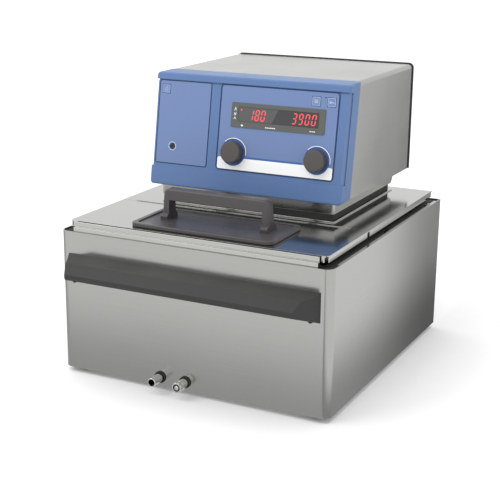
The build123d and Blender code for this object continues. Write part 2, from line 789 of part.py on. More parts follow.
# Bezel and the panels let into its slanted face
bezel_wall = 4.0
bezel_corner = 4.0
field_drop = 1.0  # the field between the two lips lies this far back
field_low = 22.0
field_high = 123.2
waist = 2.4
lip_depth = 12.0  # the lips reach this far back round the sides
bezel_rear_half_width = 119.8
pocket_depth = 2.0
panel_proud = -0.7
service_centre = (-82.4, 74.0)
service_size = (66.8, 95.0)
keypad_centre = (36.7, 74.0)
keypad_size = (142.6, 94.6)
service_gap = 2.2
keypad_gap = 3.6
shadow_groove = (2.0, 2.2)  # height and depth of the groove under the upper lip
display_centre = (37.1, 89.0)
display_size = (115.0, 28.0)
window_centre = (37.6, 90.2)
window_size = (98.8, 16.4)
power_spot = (-107.3, 112.2)
menu_spot = (81.9, 111.3)
lock_spot = (100.2, 111.3)
key_size = 9.8
key_hole = 10.6
key_travel = 0.4
dial_spot = (-94.6, 46.4)
dial_radius = 3.0
knob_spots = {
    "temperature": (knob_x - knob_half_pitch, knob_up),
    "speed": (knob_x + knob_half_pitch, knob_up),
}
key_spots = {"power": power_spot, "menu": menu_spot, "lock": lock_spot}
lean = radians(slant)
bezel_run = bezel_depth / cos(lean)
face_top_y = face_origin[1] + face_height * sin(lean)
face_top_z = head_bottom + face_height * cos(lean)

with BuildPart() as bezel:
    with BuildSketch(side_plane(-bezel_half_width)):
        with BuildLine():
            Polyline(
                (face_origin[1], head_bottom),
                (face_top_y, face_top_z),
                (face_top_y + bezel_run - 0.8, face_top_z),
                (face_origin[1] + bezel_run - 0.8, head_bottom),
                close=True,
            )
        make_face()
    extrude(amount=2 * bezel_half_width)
    fillet(edges().filter_by(Axis.Y), bezel_corner)
    fillet(faces().sort_by(face_normal)[-1].edges(), 2.0)
    # hollow behind the front wall
    with BuildSketch(face_plane(0, 0, -bezel_wall)):
        with Locations((0, face_height / 2)):
            Rectangle(2 * bezel_half_width - 6, face_height - 8)
    extrude(amount=-60, mode=Mode.SUBTRACT)
    # the field and the sides stand back between the upper and lower lips
    field_mid = (field_low + field_high) / 2
    with BuildSketch(face_plane(0, 0, 1)):
        with Locations((0, field_mid)):
            Rectangle(2 * bezel_half_width + 2, field_high - field_low)
    extrude(amount=-1 - field_drop, mode=Mode.SUBTRACT)
    with BuildSketch(face_plane(0, 0, 1)):
        for side in (-1, 1):
            with Locations((side * bezel_half_width, field_mid)):
                Rectangle(2 * waist, field_high - field_low)
    extrude(amount=-1 - lip_depth, mode=Mode.SUBTRACT)
    with BuildSketch(face_plane(0, 0, -lip_depth)):
        for side in (-1, 1):
            with Locations((side * bezel_half_width, face_height / 2)):
                Rectangle(2 * (bezel_half_width - bezel_rear_half_width), 2 * face_height)
    extrude(amount=-60, mode=Mode.SUBTRACT)
    # pockets for the two panels
    with BuildSketch(face_plane(0, 0, 1)):
        with Locations(service_centre):
            RectangleRounded(service_size[0] + service_gap, service_size[1] + service_gap, 3)
        with Locations(keypad_centre):
            RectangleRounded(keypad_size[0] + keypad_gap, keypad_size[1] + keypad_gap, 5)
        with Locations((0, field_high - shadow_groove[0] / 2)):
            Rectangle(2 * (bezel_half_width - waist), shadow_groove[0])
    extrude(amount=-1 - shadow_groove[1], mode=Mode.SUBTRACT)
    # passages for shafts, keys, adjuster and display
    with BuildSketch(face_plane(0, 0, 1)):
        with Locations(*knob_spots.values()):
            Circle(4.0)
        with Locations(*key_spots.values()):
            Circle(2.4)
        with Locations(dial_spot):
            Circle(dial_radius + 0.4)
        with Locations(window_centre):
            Rectangle(window_size[0] - 2, window_size[1] - 2)
    extrude(amount=-10, mode=Mode.SUBTRACT)
save(bezel.part, "bezel")

with BuildPart() as service_panel:
    with BuildSketch(face_plane(0, 0, -pocket_depth)):
        with Locations(service_centre):
            RectangleRounded(*service_size, 2)
        with Locations(power_spot):
            Rectangle(key_hole, key_hole, mode=Mode.SUBTRACT)
        with Locations(dial_spot):
            Circle(dial_radius + 0.35, mode=Mode.SUBTRACT)
    extrude(amount=pocket_depth + panel_proud)
    with BuildSketch(face_plane(0, 0, panel_proud)):
        with Locations(dial_spot):
            Circle(5.3)
            Circle(4.1, mode=Mode.SUBTRACT)
    extrude(amount=0.35)
save(service_panel.part, "service_panel")

knob_dish = 15.4
knob_dish_depth = 0.8

with BuildPart() as keypad_panel:
    with BuildSketch(face_plane(0, 0, -pocket_depth)):
        with Locations(keypad_centre):
            RectangleRounded(*keypad_size, 3.5)
        with Locations(menu_spot, lock_spot):
            Rectangle(key_hole, key_hole, mode=Mode.SUBTRACT)
        with Locations(*knob_spots.values()):
            Circle(4.0, mode=Mode.SUBTRACT)
        with Locations(window_centre):
            Rectangle(*window_size, mode=Mode.SUBTRACT)
    extrude(amount=pocket_depth + panel_proud)
    # round dishes under the knobs
    with BuildSketch(face_plane(0, 0, panel_proud)):
        with Locations(*knob_spots.values()):
            Circle(knob_dish)
    extrude(amount=-knob_dish_depth, mode=Mode.SUBTRACT)
save(keypad_panel.part, "keypad_panel")

strip_centre = (36.75, 33.6)
strip_size = (142.0, 13.4)

with BuildPart() as label_strip:
    with BuildSketch(face_plane(0, 0, panel_proud)):
        with Locations(strip_centre):
            RectangleRounded(*strip_size, 2.2)
        with Locations(*knob_spots.values()):
            Circle(knob_dish, mode=Mode.SUBTRACT)
    extrude(amount=0.25)
save(label_strip.part, "label_strip")

with BuildPart() as display_frame:
    with BuildSketch(face_plane(0, 0, panel_proud)):
        with Locations(display_centre):
            RectangleRounded(*display_size, 1.2)
        with Locations(window_centre):
            Rectangle(*window_size, mode=Mode.SUBTRACT)
    extrude(amount=0.8)
save(display_frame.part, "display_frame")

with BuildPart() as display_window:
    with BuildSketch(face_plane(0, 0, -1.9)):
        with Locations(window_centre):
            Rectangle(window_size[0] - 0.4, window_size[1] - 0.4)
    extrude(amount=1.8)
save(display_window.part, "display_window")


# Keys, adjuster and knobs
switch_top = -11.2
board_face = -15.0

for key_name, spot in key_spots.items():
    with BuildPart() as key:
        with BuildSketch(face_plane(*spot, -1.2)):
            RectangleRounded(key_size, key_size, 1.0)
        extrude(amount=1.2 + panel_proud + 0.25)
        with BuildSketch(face_plane(*spot, -1.2)):
            Circle(1.5)
        extrude(amount=switch_top + key_travel + 0.4 + 1.2)
    save(key.part, f"{key_name}_key")

with BuildPart() as safety_dial:
    with BuildSketch(face_plane(*dial_spot, -9.0)):
        Circle(dial_radius - 0.05)
    extrude(amount=8.0)
    with BuildSketch(face_plane(*dial_spot, -1.0)):
        Rectangle(5.0, 0.9)
    extrude(amount=-0.9, mode=Mode.SUBTRACT)
save(safety_dial.part, "safety_dial")

knob_back = -0.2
shaft_bore = shaft_diameter / 2 + 0.02
shaft_end = -12.0
flute_count = 24

for knob_name, spot in knob_spots.items():
    with BuildPart() as knob:
        with BuildSketch(face_plane(*spot, knob_back)):
            Circle(knob_diameter / 2)
        extrude(amount=knob_length, taper=2)
        fillet(faces().sort_by(face_normal)[-1].edges(), 1.5)
        # hollow back with a hub for the shaft
        with BuildSketch(face_plane(*spot, knob_back)):
            Circle(knob_diameter / 2 - 2.5)
            Circle(5.5, mode=Mode.SUBTRACT)
        extrude(amount=knob_length - 3, mode=Mode.SUBTRACT)
        with BuildSketch(face_plane(*spot, knob_back)):
            Circle(shaft_bore)
        extrude(amount=knob_length - 3.5, mode=Mode.SUBTRACT)
        # grip flutes round the rim
        with BuildSketch(face_plane(*spot, knob_back + 1.5)):
            with PolarLocations(knob_diameter / 2 + 0.55, flute_count):
                Circle(1.0)
        extrude(amount=knob_length, mode=Mode.SUBTRACT)
    save(knob.part, f"{knob_name}_knob")

    with BuildPart() as shaft:
        with BuildSketch(face_plane(*spot, shaft_end)):
            Circle(shaft_diameter / 2)
        extrude(amount=knob_back + knob_length - 4.0 - shaft_end)
        with BuildSketch(face_plane(*spot, shaft_end + 1.0)):
            Circle(4.5)
        extrude(amount=1.0)
    save(shaft.part, f"{knob_name}_shaft")

    with BuildPart() as rotor:
        with BuildSketch(face_plane(*spot, -9.6)):
            Circle(6.0)
            Circle(shaft_diameter / 2 + 0.05, mode=Mode.SUBTRACT)
        extrude(amount=3.8)
    save(rotor.part, f"{knob_name}_rotor")

with BuildPart() as encoder_housings:
    for spot in knob_spots.values():
        with BuildSketch(face_plane(*spot, board_face)):
            RectangleRounded(15, 15, 1.5)
        extrude(amount=-4.2 - board_face)
        with BuildSketch(face_plane(*spot, board_face + 1.2)):
            Circle(6.4)
        extrude(amount=-5.4 - board_face - 1.2, mode=Mode.SUBTRACT)
        with BuildSketch(face_plane(*spot, -5.4)):
            Circle(shaft_diameter / 2 + 0.4)
        extrude(amount=2, mode=Mode.SUBTRACT)
save(encoder_housings.part, "encoder_housings")

with BuildPart() as control_board:
    with BuildSketch(face_plane(0, 0, board_face - 1.6)):
        with Locations((-2, 74)):
            Rectangle(222, 96)
    extrude(amount=1.6)
    # display module
    with BuildSketch(face_plane(0, 0, board_face)):
        with Locations(window_centre):
            Rectangle(window_size[0] - 4, window_size[1] - 4)
    extrude(amount=-2.2 - board_face)
    # key switches and adjuster potentiometer
    with BuildSketch(face_plane(0, 0, board_face)):
        for spot in key_spots.values():
            with Locations(spot):
                Rectangle(6, 6)
    extrude(amount=switch_top - board_face)
    with BuildSketch(face_plane(0, 0, board_face)):
        with Locations(dial_spot):
            Rectangle(12, 12)
    extrude(amount=5.0)
save(control_board.part, "control_board")


# Inside the head and below it
motor_radius = 36.0
motor_bottom = tray_top
motor_top = motor_bottom + 70.0
shaft_radius = 3.95
impeller_z = 48.0
pump_bottom = 38.0
pump_top = 72.0
bearing_outer = 9.0
rotor_bottom = motor_bottom + 16
rotor_top = motor_top - 16
fan_z = motor_top + 6.0

with BuildPart() as motor_housing:
    with BuildSketch(Plane.XY.offset(motor_bottom)):
        with Locations(pump_axis):
            Circle(motor_radius)
    extrude(amount=motor_top - motor_bottom)
    with BuildSketch(Plane.XY.offset(motor_bottom + 8)):
        with Locations(pump_axis):
            Circle(20.0)
    extrude(amount=motor_top - motor_bottom - 16, mode=Mode.SUBTRACT)
    with Locations((*pump_axis, motor_bottom)):
        Cylinder(tube_outer + 0.5, 4.0, align=(Align.CENTER, Align.CENTER, Align.MIN), mode=Mode.SUBTRACT)
        Cylinder(bearing_outer, 90.0, align=(Align.CENTER, Align.CENTER, Align.MIN), mode=Mode.SUBTRACT)
    # cooling ribs round the body
    with BuildSketch(Plane.XY.offset(motor_bottom + 8)):
        with Locations(pump_axis):
            with PolarLocations(motor_radius, 20):
                Rectangle(5.0, 3.0)
    extrude(amount=motor_top - motor_bottom - 16, mode=Mode.SUBTRACT)
save(motor_housing.part, "motor_housing")

with BuildPart() as pump_bearings:
    for level in (motor_bottom + 4.2, motor_top - 6):
        with BuildSketch(Plane.XY.offset(level)):
            with Locations(pump_axis):
                Circle(bearing_outer - 0.02)
                Circle(shaft_radius + 0.05, mode=Mode.SUBTRACT)
        extrude(amount=5.0)
save(pump_bearings.part, "pump_bearings")

with BuildPart() as pump_shaft:
    with BuildSketch(Plane.XY.offset(impeller_z - 4)):
        with Locations(pump_axis):
            Circle(shaft_radius)
    extrude(amount=fan_z + 12 - impeller_z + 4)
    with BuildSketch(Plane.XY.offset(rotor_bottom)):
        with Locations(pump_axis):
            Circle(18.5)
    extrude(amount=rotor_top - rotor_bottom)
save(pump_shaft.part, "pump_shaft")


def bladed_wheel(z, height, hub, reach, blades, thickness, bore, tilt=0.0):
    """A hub with radial blades on the pump axis."""
    with BuildPart() as wheel:
        with Locations((*pump_axis, z)):
            Cylinder(hub, height, align=(Align.CENTER, Align.CENTER, Align.MIN))
        with Locations((*pump_axis, z + height / 2)):
            with PolarLocations((hub + reach) / 2 - 0.5, blades):
                Box(reach - hub + 1, thickness, height - 2, rotation=(tilt, 0, 0))
        with Locations((*pump_axis, z)):
            Cylinder(bore, 3 * height, mode=Mode.SUBTRACT)
    return wheel.part


impeller = bladed_wheel(impeller_z, 9.0, 8.0, 21.0, 6, 1.8, shaft_radius + 0.02)
save(impeller, "impeller")
cooling_fan = bladed_wheel(fan_z, 9.0, 9.0, 30.0, 7, 1.6, shaft_radius + 0.02, tilt=35.0)
save(cooling_fan, "cooling_fan")

with BuildPart() as pump_housing:
    with BuildSketch(Plane.XY.offset(pump_bottom)):
        with Locations(pump_axis):
            Circle(28.0)
        with Locations((pump_axis[0] + 18, pump_axis[1] + 20)):
            Rectangle(20, 16)
    extrude(amount=pump_top - pump_bottom)
    with BuildSketch(Plane.XY.offset(pump_bottom + 3)):
        with Locations(pump_axis):
            Circle(24.5)
    extrude(amount=pump_top - pump_bottom - 9, mode=Mode.SUBTRACT)
    with Locations((*pump_axis, pump_bottom)):
        Cylinder(11.0, 10.0, mode=Mode.SUBTRACT)
        Cylinder(tube_outer - 1.5, 60.0, align=(Align.CENTER, Align.CENTER, Align.MIN), mode=Mode.SUBTRACT)
    # outlet port to the side
    with Locations(Plane(origin=(pump_axis[0] + 14, pump_axis[1] + 20, 54), z_dir=(1, 0, 0))):
        Cylinder(5.0, 30.0, align=(Align.CENTER, Align.CENTER, Align.MIN), mode=Mode.SUBTRACT)
save(pump_housing.part, "pump_housing")

with BuildPart() as shaft_tube:
    with BuildSketch(Plane.XY.offset(pump_top)):
        with Locations(pump_axis):
            Circle(tube_outer)
            Circle(tube_outer - 1.5, mode=Mode.SUBTRACT)
    extrude(amount=dip_top - pump_top)
save(shaft_tube.part, "shaft_tube")

heater_bend = 16.0

with BuildPart() as heater_loop:
    with BuildLine() as heater_path:
        FilletPolyline(
            (-heater_leg_x, heater_leg_y, dip_top),
            (-heater_leg_x, heater_leg_y, heater_z),
            (-heater_leg_x, heater_front_y, heater_z),
            (heater_leg_x, heater_front_y, heater_z),
            (heater_leg_x, heater_leg_y, heater_z),
            (heater_leg_x, heater_leg_y, dip_top),
            radius=heater_bend,
        )
    with BuildSketch(Plane(origin=(-heater_leg_x, heater_leg_y, dip_top), z_dir=(0, 0, -1))):
        Circle(heater_wire)
    sweep()
save(heater_loop.part, "heater_loop")

with BuildPart() as sensor_tubes:
    for spot in sensor_spots:
        with Locations((*spot, 66.0)):
            Cylinder(sensor_radius, dip_top - 66.0, align=(Align.CENTER, Align.CENTER, Align.MIN))
    fillet(edges().group_by(Axis.Z)[0], 2.5)
save(sensor_tubes.part, "sensor_tubes")

float_radius = 12.0
float_height = 18.0
float_rest_z = 112.0
float_travel = 12.0
stop_gap = 0.4

with BuildPart() as level_rod:
    with Locations((*level_spot, 80.0)):
        Cylinder(level_radius, dip_top - 80.0, align=(Align.CENTER, Align.CENTER, Align.MIN))
    for level in (float_rest_z - stop_gap - 2.0, float_rest_z + float_height + float_travel + stop_gap):
        with Locations((*level_spot, level)):
            Cylinder(6.5, 2.0, align=(Align.CENTER, Align.CENTER, Align.MIN))
save(level_rod.part, "level_rod")

with BuildPart() as level_float:
    with BuildSketch(Plane.XY.offset(float_rest_z)):
        with Locations(level_spot):
            Circle(float_radius)
            Circle(level_radius + 0.5, mode=Mode.SUBTRACT)
    extrude(amount=float_height)
    fillet(edges().filter_by(GeomType.CIRCLE).sort_by(SortBy.RADIUS)[-2:], 3)
save(level_float.part, "level_float")

power_board_z = tray_top + 8.0

with BuildPart() as power_board:
    with BuildSketch(Plane.XY.offset(power_board_z)):
        with Locations((0, 146)):
            Rectangle(206, 66)
    extrude(amount=1.6)
    # standoffs
    with Locations((0, 146, tray_top)):
        with GridLocations(190, 54, 2, 2):
            Cylinder(3.0, power_board_z - tray_top, align=(Align.CENTER, Align.CENTER, Align.MIN))
    # transformer, heat sink and capacitors
    with Locations((62, 140, power_board_z + 1.6)):
        Box(54, 44, 40, align=(Align.CENTER, Align.CENTER, Align.MIN))
    with Locations((0, 128, power_board_z + 1.6)):
        Box(40, 12, 26, align=(Align.CENTER, Align.CENTER, Align.MIN))
    with Locations((-20, 156, power_board_z + 1.6), (4, 156, power_board_z + 1.6)):
        Cylinder(9.0, 24, align=(Align.CENTER, Align.CENTER, Align.MIN))
save(power_board.part, "power_board")
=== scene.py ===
import json
import math

import bmesh
import bpy
from mathutils import Matrix, Vector

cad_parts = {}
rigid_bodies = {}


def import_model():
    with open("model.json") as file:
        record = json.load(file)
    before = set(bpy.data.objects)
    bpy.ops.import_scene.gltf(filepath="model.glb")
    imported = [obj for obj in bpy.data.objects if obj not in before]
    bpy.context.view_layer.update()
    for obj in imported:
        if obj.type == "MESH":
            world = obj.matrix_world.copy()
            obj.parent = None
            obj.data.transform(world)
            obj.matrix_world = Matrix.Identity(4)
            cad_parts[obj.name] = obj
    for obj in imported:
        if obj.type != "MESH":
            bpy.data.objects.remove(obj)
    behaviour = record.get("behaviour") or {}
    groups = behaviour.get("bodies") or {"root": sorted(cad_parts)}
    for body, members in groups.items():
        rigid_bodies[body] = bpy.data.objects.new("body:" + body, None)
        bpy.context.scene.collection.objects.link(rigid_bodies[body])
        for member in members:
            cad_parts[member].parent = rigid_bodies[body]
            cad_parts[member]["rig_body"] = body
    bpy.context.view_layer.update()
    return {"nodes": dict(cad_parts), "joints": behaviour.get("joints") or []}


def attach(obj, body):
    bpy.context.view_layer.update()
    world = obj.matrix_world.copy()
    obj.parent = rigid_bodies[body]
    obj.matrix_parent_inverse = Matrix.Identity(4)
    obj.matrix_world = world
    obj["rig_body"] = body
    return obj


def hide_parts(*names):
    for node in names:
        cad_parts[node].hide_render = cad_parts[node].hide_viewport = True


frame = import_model()
nodes = frame["nodes"]
jointOf = {joint["name"]: joint for joint in frame["joints"]}
mm = 0.001
print("water bath: frame loaded,", len(nodes), "CAD nodes")


# Finishes. grain is the noise's scale per metre along X, Y and Z: a low number draws the grain out along that axis.
# smudge is the scale of the broad, soft variation. rough is the roughness from the smoothest to the dullest spot.

finishLooks = {
    "satinSteel": dict(
        colour=(0.375, 0.377, 0.360), tint=(0.445, 0.447, 0.430), grain=(7, 7, 1500), smudge=9,
        rough=(0.15, 0.22), bump=0.05, bumpDepth=0.00004, shader={"Metallic": 1.0},
    ),
    "foldedSteel": dict(
        colour=(0.360, 0.362, 0.345), tint=(0.430, 0.432, 0.415), grain=(1500, 7, 1500), smudge=9,
        rough=(0.17, 0.25), bump=0.05, bumpDepth=0.00004, shader={"Metallic": 1.0},
    ),
    "deckSteel": dict(
        colour=(0.430, 0.432, 0.412), tint=(0.510, 0.512, 0.490), grain=(6, 1700, 1700), smudge=11,
        rough=(0.10, 0.17), bump=0.035, bumpDepth=0.00003, shader={"Metallic": 1.0},
    ),
    "tankSteel": dict(
        colour=(0.60, 0.60, 0.58), tint=(0.70, 0.70, 0.68), grain=(8, 8, 700), smudge=14,
        rough=(0.18, 0.30), bump=0.05, bumpDepth=0.00004, shader={"Metallic": 1.0},
    ),
    "turnedSteel": dict(
        colour=(0.62, 0.615, 0.60), tint=(0.76, 0.75, 0.73), grain=(60, 3200, 60), smudge=120,
        rough=(0.14, 0.26), bump=0.08, bumpDepth=0.00003, shader={"Metallic": 1.0},
    ),
    "zincPlate": dict(
        colour=(0.55, 0.56, 0.56), tint=(0.70, 0.70, 0.66), grain=(500, 500, 500), smudge=220,
        rough=(0.25, 0.42), bump=0.10, bumpDepth=0.00003, shader={"Metallic": 1.0},
    ),
    "galvanised": dict(
        colour=(0.42, 0.43, 0.44), tint=(0.56, 0.57, 0.58), grain=(90, 90, 90), smudge=35,
        rough=(0.38, 0.55), bump=0.06, bumpDepth=0.00004, shader={"Metallic": 1.0},
    ),
    "castAlloy": dict(
        colour=(0.46, 0.46, 0.46), tint=(0.58, 0.58, 0.58), grain=(900, 900, 900), smudge=50,
        rough=(0.45, 0.60), bump=0.30, bumpDepth=0.00008, shader={"Metallic": 1.0},
    ),
    "drainBrass": dict(
        colour=(0.62, 0.44, 0.18), tint=(0.74, 0.56, 0.27), grain=(60, 1500, 60), smudge=80,
        rough=(0.22, 0.36), bump=0.06, bumpDepth=0.00003, shader={"Metallic": 1.0},
    ),
    "blueCoat": dict(
        colour=(0.078, 0.150, 0.325), tint=(0.092, 0.172, 0.360), grain=(1100, 1100, 1100), smudge=12,
        rough=(0.34, 0.44), bump=0.10, bumpDepth=0.00005, shader={"Specular IOR Level": 0.5},
    ),
    "panelFilm": dict(
        colour=(0.122, 0.188, 0.370), tint=(0.140, 0.210, 0.400), grain=(2600, 2600, 2600), smudge=10,
        rough=(0.40, 0.50), bump=0.06, bumpDepth=0.00003, shader={"Specular IOR Level": 0.5},
    ),
    # painted shade: dark blue for the knob dishes, the hollow round the dial and the groove above the label strip
    "paintedBlueShade": dict(
        colour=(0.030, 0.095, 0.300), tint=(0.040, 0.115, 0.340), grain=(2600, 2600, 2600), smudge=20,
        rough=(0.40, 0.50), bump=0.05, bumpDepth=0.00003, shader={},
    ),
    # painted shade: darker blue for the gaps in the pockets round the panels
    "paintedGrooveShade": dict(
        colour=(0.020, 0.052, 0.140), tint=(0.028, 0.068, 0.175), grain=(2600, 2600, 2600), smudge=20,
        rough=(0.50, 0.60), bump=0.05, bumpDepth=0.00003, shader={},
    ),
    "whitePrint": dict(
        colour=(0.84, 0.85, 0.87), tint=(0.90, 0.90, 0.91), grain=(2400, 2400, 2400), smudge=16,
        rough=(0.38, 0.48), bump=0.05, bumpDepth=0.00002, shader={},
    ),
    "softWhitePrint": dict(
        colour=(0.46, 0.52, 0.68), tint=(0.52, 0.58, 0.73), grain=(2400, 2400, 2400), smudge=16,
        rough=(0.40, 0.50), bump=0.05, bumpDepth=0.00002, shader={},
    ),
    "paleBluePrint": dict(
        colour=(0.33, 0.42, 0.68), tint=(0.38, 0.47, 0.72), grain=(2400, 2400, 2400), smudge=16,
        rough=(0.40, 0.50), bump=0.05, bumpDepth=0.00002, shader={},
    ),
    "displayGrey": dict(
        colour=(0.078, 0.082, 0.078), tint=(0.098, 0.102, 0.097), grain=(2400, 2400, 2400), smudge=18,
        rough=(0.42, 0.52), bump=0.06, bumpDepth=0.00003, shader={},
    ),
    "smokedFilter": dict(
        colour=(0.020, 0.021, 0.022), tint=(0.030, 0.031, 0.033), grain=(400, 400, 400), smudge=20,
        rough=(0.08, 0.16), bump=0.01, bumpDepth=0.00002, shader={"Coat Weight": 0.5, "Coat Roughness": 0.05},
    ),
    "lighterGlass": dict(
        colour=(0.062, 0.063, 0.062), tint=(0.075, 0.076, 0.074), grain=(400, 400, 400), smudge=20,
        rough=(0.10, 0.18), bump=0.01, bumpDepth=0.00002, shader={"Coat Weight": 0.5, "Coat Roughness": 0.05},
    ),
    "gripPlastic": dict(
        colour=(0.022, 0.022, 0.021), tint=(0.034, 0.034, 0.033), grain=(1500, 1500, 1500), smudge=16,
        rough=(0.38, 0.50), bump=0.22, bumpDepth=0.00006, shader={"Specular IOR Level": 0.3},
    ),
    "lidPlastic": dict(
        colour=(0.048, 0.043, 0.044), tint=(0.064, 0.058, 0.059), grain=(1500, 1500, 1500), smudge=16,
        rough=(0.26, 0.38), bump=0.10, bumpDepth=0.00004, shader={},
    ),
    "knobPlastic": dict(
        colour=(0.058, 0.052, 0.050), tint=(0.074, 0.067, 0.064), grain=(1700, 1700, 1700), smudge=40,
        rough=(0.44, 0.56), bump=0.18, bumpDepth=0.00005, shader={},
    ),
    "blackPlastic": dict(
        colour=(0.016, 0.016, 0.017), tint=(0.026, 0.026, 0.027), grain=(1300, 1300, 1300), smudge=18,
        rough=(0.42, 0.58), bump=0.22, bumpDepth=0.00006, shader={},
    ),
    "blackRubber": dict(
        colour=(0.012, 0.012, 0.012), tint=(0.022, 0.022, 0.021), grain=(1100, 1100, 1100), smudge=60,
        rough=(0.62, 0.78), bump=0.25, bumpDepth=0.00006, shader={},
    ),
    "blackOxide": dict(
        colour=(0.020, 0.020, 0.021), tint=(0.045, 0.044, 0.043), grain=(900, 900, 900), smudge=300,
        rough=(0.32, 0.48), bump=0.10, bumpDepth=0.00003, shader={"Metallic": 0.6},
    ),
    "foam": dict(
        colour=(0.56, 0.52, 0.42), tint=(0.68, 0.64, 0.53), grain=(420, 420, 420), smudge=30,
        rough=(0.80, 0.92), bump=0.60, bumpDepth=0.0004, shader={},
    ),
    "solderResist": dict(
        colour=(0.010, 0.110, 0.045), tint=(0.014, 0.150, 0.060), grain=(900, 160, 900), smudge=90,
        rough=(0.22, 0.36), bump=0.12, bumpDepth=0.00005, shader={},
    ),
    "floatPlastic": dict(
        colour=(0.68, 0.68, 0.62), tint=(0.78, 0.78, 0.72), grain=(900, 900, 900), smudge=60,
        rough=(0.40, 0.52), bump=0.10, bumpDepth=0.00004, shader={},
    ),
    "ledRed": dict(
        colour=(0.50, 0.03, 0.04), tint=(0.62, 0.05, 0.06), grain=(1800, 1800, 1800), smudge=300,
        rough=(0.35, 0.45), bump=0.02, bumpDepth=0.00001,
        shader={"Emission Color": (0.83, 0.055, 0.085, 1.0), "Emission Strength": 0.95},
    ),
    "boreShadow": dict(
        colour=(0.006, 0.006, 0.006), tint=(0.012, 0.012, 0.012), grain=(900, 900, 900), smudge=200,
        rough=(0.70, 0.85), bump=0.10, bumpDepth=0.00004, shader={},
    ),
}


def buildFinish(name, look):
    finish = bpy.data.materials.new(name)
    finish.use_nodes = True
    tree = finish.node_tree
    shader = tree.nodes["Principled BSDF"]
    for socketName, value in look["shader"].items():
        shader.inputs[socketName].default_value = value

    place = tree.nodes.new("ShaderNodeTexCoord")
    stretch = tree.nodes.new("ShaderNodeMapping")
    stretch.inputs["Scale"].default_value = look["grain"]
    tree.links.new(place.outputs["Object"], stretch.inputs["Vector"])

    grain = tree.nodes.new("ShaderNodeTexNoise")
    grain.inputs["Scale"].default_value = 1.0
    grain.inputs["Detail"].default_value = 3.0
    tree.links.new(stretch.outputs["Vector"], grain.inputs["Vector"])

    smudge = tree.nodes.new("ShaderNodeTexNoise")
    smudge.inputs["Scale"].default_value = look["smudge"]
    smudge.inputs["Detail"].default_value = 4.0
    tree.links.new(place.outputs["Object"], smudge.inputs["Vector"])

    blend = tree.nodes.new("ShaderNodeMix")  # mostly grain in the colour, mostly smudge in the gloss
    blend.inputs["Factor"].default_value = 0.4
    tree.links.new(grain.outputs["Fac"], blend.inputs["A"])
    tree.links.new(smudge.outputs["Fac"], blend.inputs["B"])

    colour = tree.nodes.new("ShaderNodeMix")
    colour.data_type = "RGBA"
    colour.inputs["A"].default_value = (*look["colour"], 1.0)
    colour.inputs["B"].default_value = (*look["tint"], 1.0)
    tree.links.new(blend.outputs["Result"], colour.inputs["Factor"])
    tree.links.new(colour.outputs["Result"], shader.inputs["Base Color"])

    gloss = tree.nodes.new("ShaderNodeMapRange")
    gloss.inputs["From Min"].default_value = 0.3
    gloss.inputs["From Max"].default_value = 0.7
    gloss.inputs["To Min"].default_value = look["rough"][0]
    gloss.inputs["To Max"].default_value = look["rough"][1]
    tree.links.new(smudge.outputs["Fac"], gloss.inputs["Value"])
    tree.links.new(gloss.outputs["Result"], shader.inputs["Roughness"])

    relief = tree.nodes.new("ShaderNodeBump")
    relief.inputs["Strength"].default_value = look["bump"]
    relief.inputs["Distance"].default_value = look["bumpDepth"]
    tree.links.new(grain.outputs["Fac"], relief.inputs["Height"])
    tree.links.new(relief.outputs["Normal"], shader.inputs["Normal"])
    return finish


finishes = {name: buildFinish(name, look) for name, look in finishLooks.items()}

nodeFinish = {
    "casing_wrap": "satinSteel", "casing_rear_panel": "satinSteel", "base_plate": "galvanised",
    "feet": "blackRubber", "foot_screws": "zincPlate", "inner_tank": "tankSteel",
    "tank_insulation": "foam", "rim_gasket": "blackRubber", "front_rim": "deckSteel",
    "front_cover": "deckSteel", "rear_cover": "deckSteel", "lid_plate": "lidPlastic",
    "lid_handle": "lidPlastic", "front_grip": "gripPlastic", "grip_screws": "blackOxide",
    "drain_manifold": "drainBrass", "drain_outlet": "turnedSteel", "drain_grommets": "blackRubber",
    "valve_o_ring": "blackRubber", "valve_spindle": "turnedSteel", "valve_knob": "turnedSteel",
    "mounting_plate": "deckSteel", "neck_seal": "blackRubber", "neck_housing": "satinSteel",
    "pump_outlet_block": "turnedSteel", "head_base": "blackPlastic", "head_cover": "foldedSteel",
    "head_rear_panel": "blackPlastic", "rear_panel_screws": "zincPlate", "mains_inlet": "blackPlastic",
    "bezel": "blueCoat", "service_panel": "panelFilm", "keypad_panel": "panelFilm",
    "label_strip": "whitePrint", "display_frame": "displayGrey", "display_window": "smokedFilter",
    "power_key": "panelFilm", "menu_key": "panelFilm", "lock_key": "panelFilm",
    "safety_dial": "blackPlastic", "temperature_knob": "knobPlastic", "speed_knob": "knobPlastic",
    "temperature_shaft": "turnedSteel", "speed_shaft": "turnedSteel",
    "temperature_rotor": "blackPlastic", "speed_rotor": "blackPlastic",
    "encoder_housings": "blackPlastic", "control_board": "solderResist", "power_board": "solderResist",
    "motor_housing": "castAlloy", "pump_bearings": "turnedSteel", "pump_shaft": "turnedSteel",
    "impeller": "blackPlastic", "cooling_fan": "blackPlastic", "pump_housing": "blackPlastic",
    "shaft_tube": "tankSteel", "heater_loop": "tankSteel", "sensor_tubes": "tankSteel",
    "level_rod": "tankSteel", "level_float": "floatPlastic",
}

for nodeName, finishName in nodeFinish.items():
    held = nodes[nodeName].data.materials
    held.clear()
    held.append(finishes[finishName])
print("finishes on every CAD node:", len(nodeFinish))


# Pieces made from the CAD shapes, with their edges broken.

def finishPiece(name, mesh, finishName, body, sharpAngle=32, stands=()):
    mesh.materials.clear()
    mesh.materials.append(finishes[finishName])
    mesh.polygons.foreach_set("use_smooth", [True] * len(mesh.polygons))
    mesh.set_sharp_from_angle(angle=math.radians(sharpAngle))
    piece = bpy.data.objects.new(name, mesh)
    bpy.context.scene.collection.objects.link(piece)
    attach(piece, body)
    if stands:
        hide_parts(*stands)
    return piece


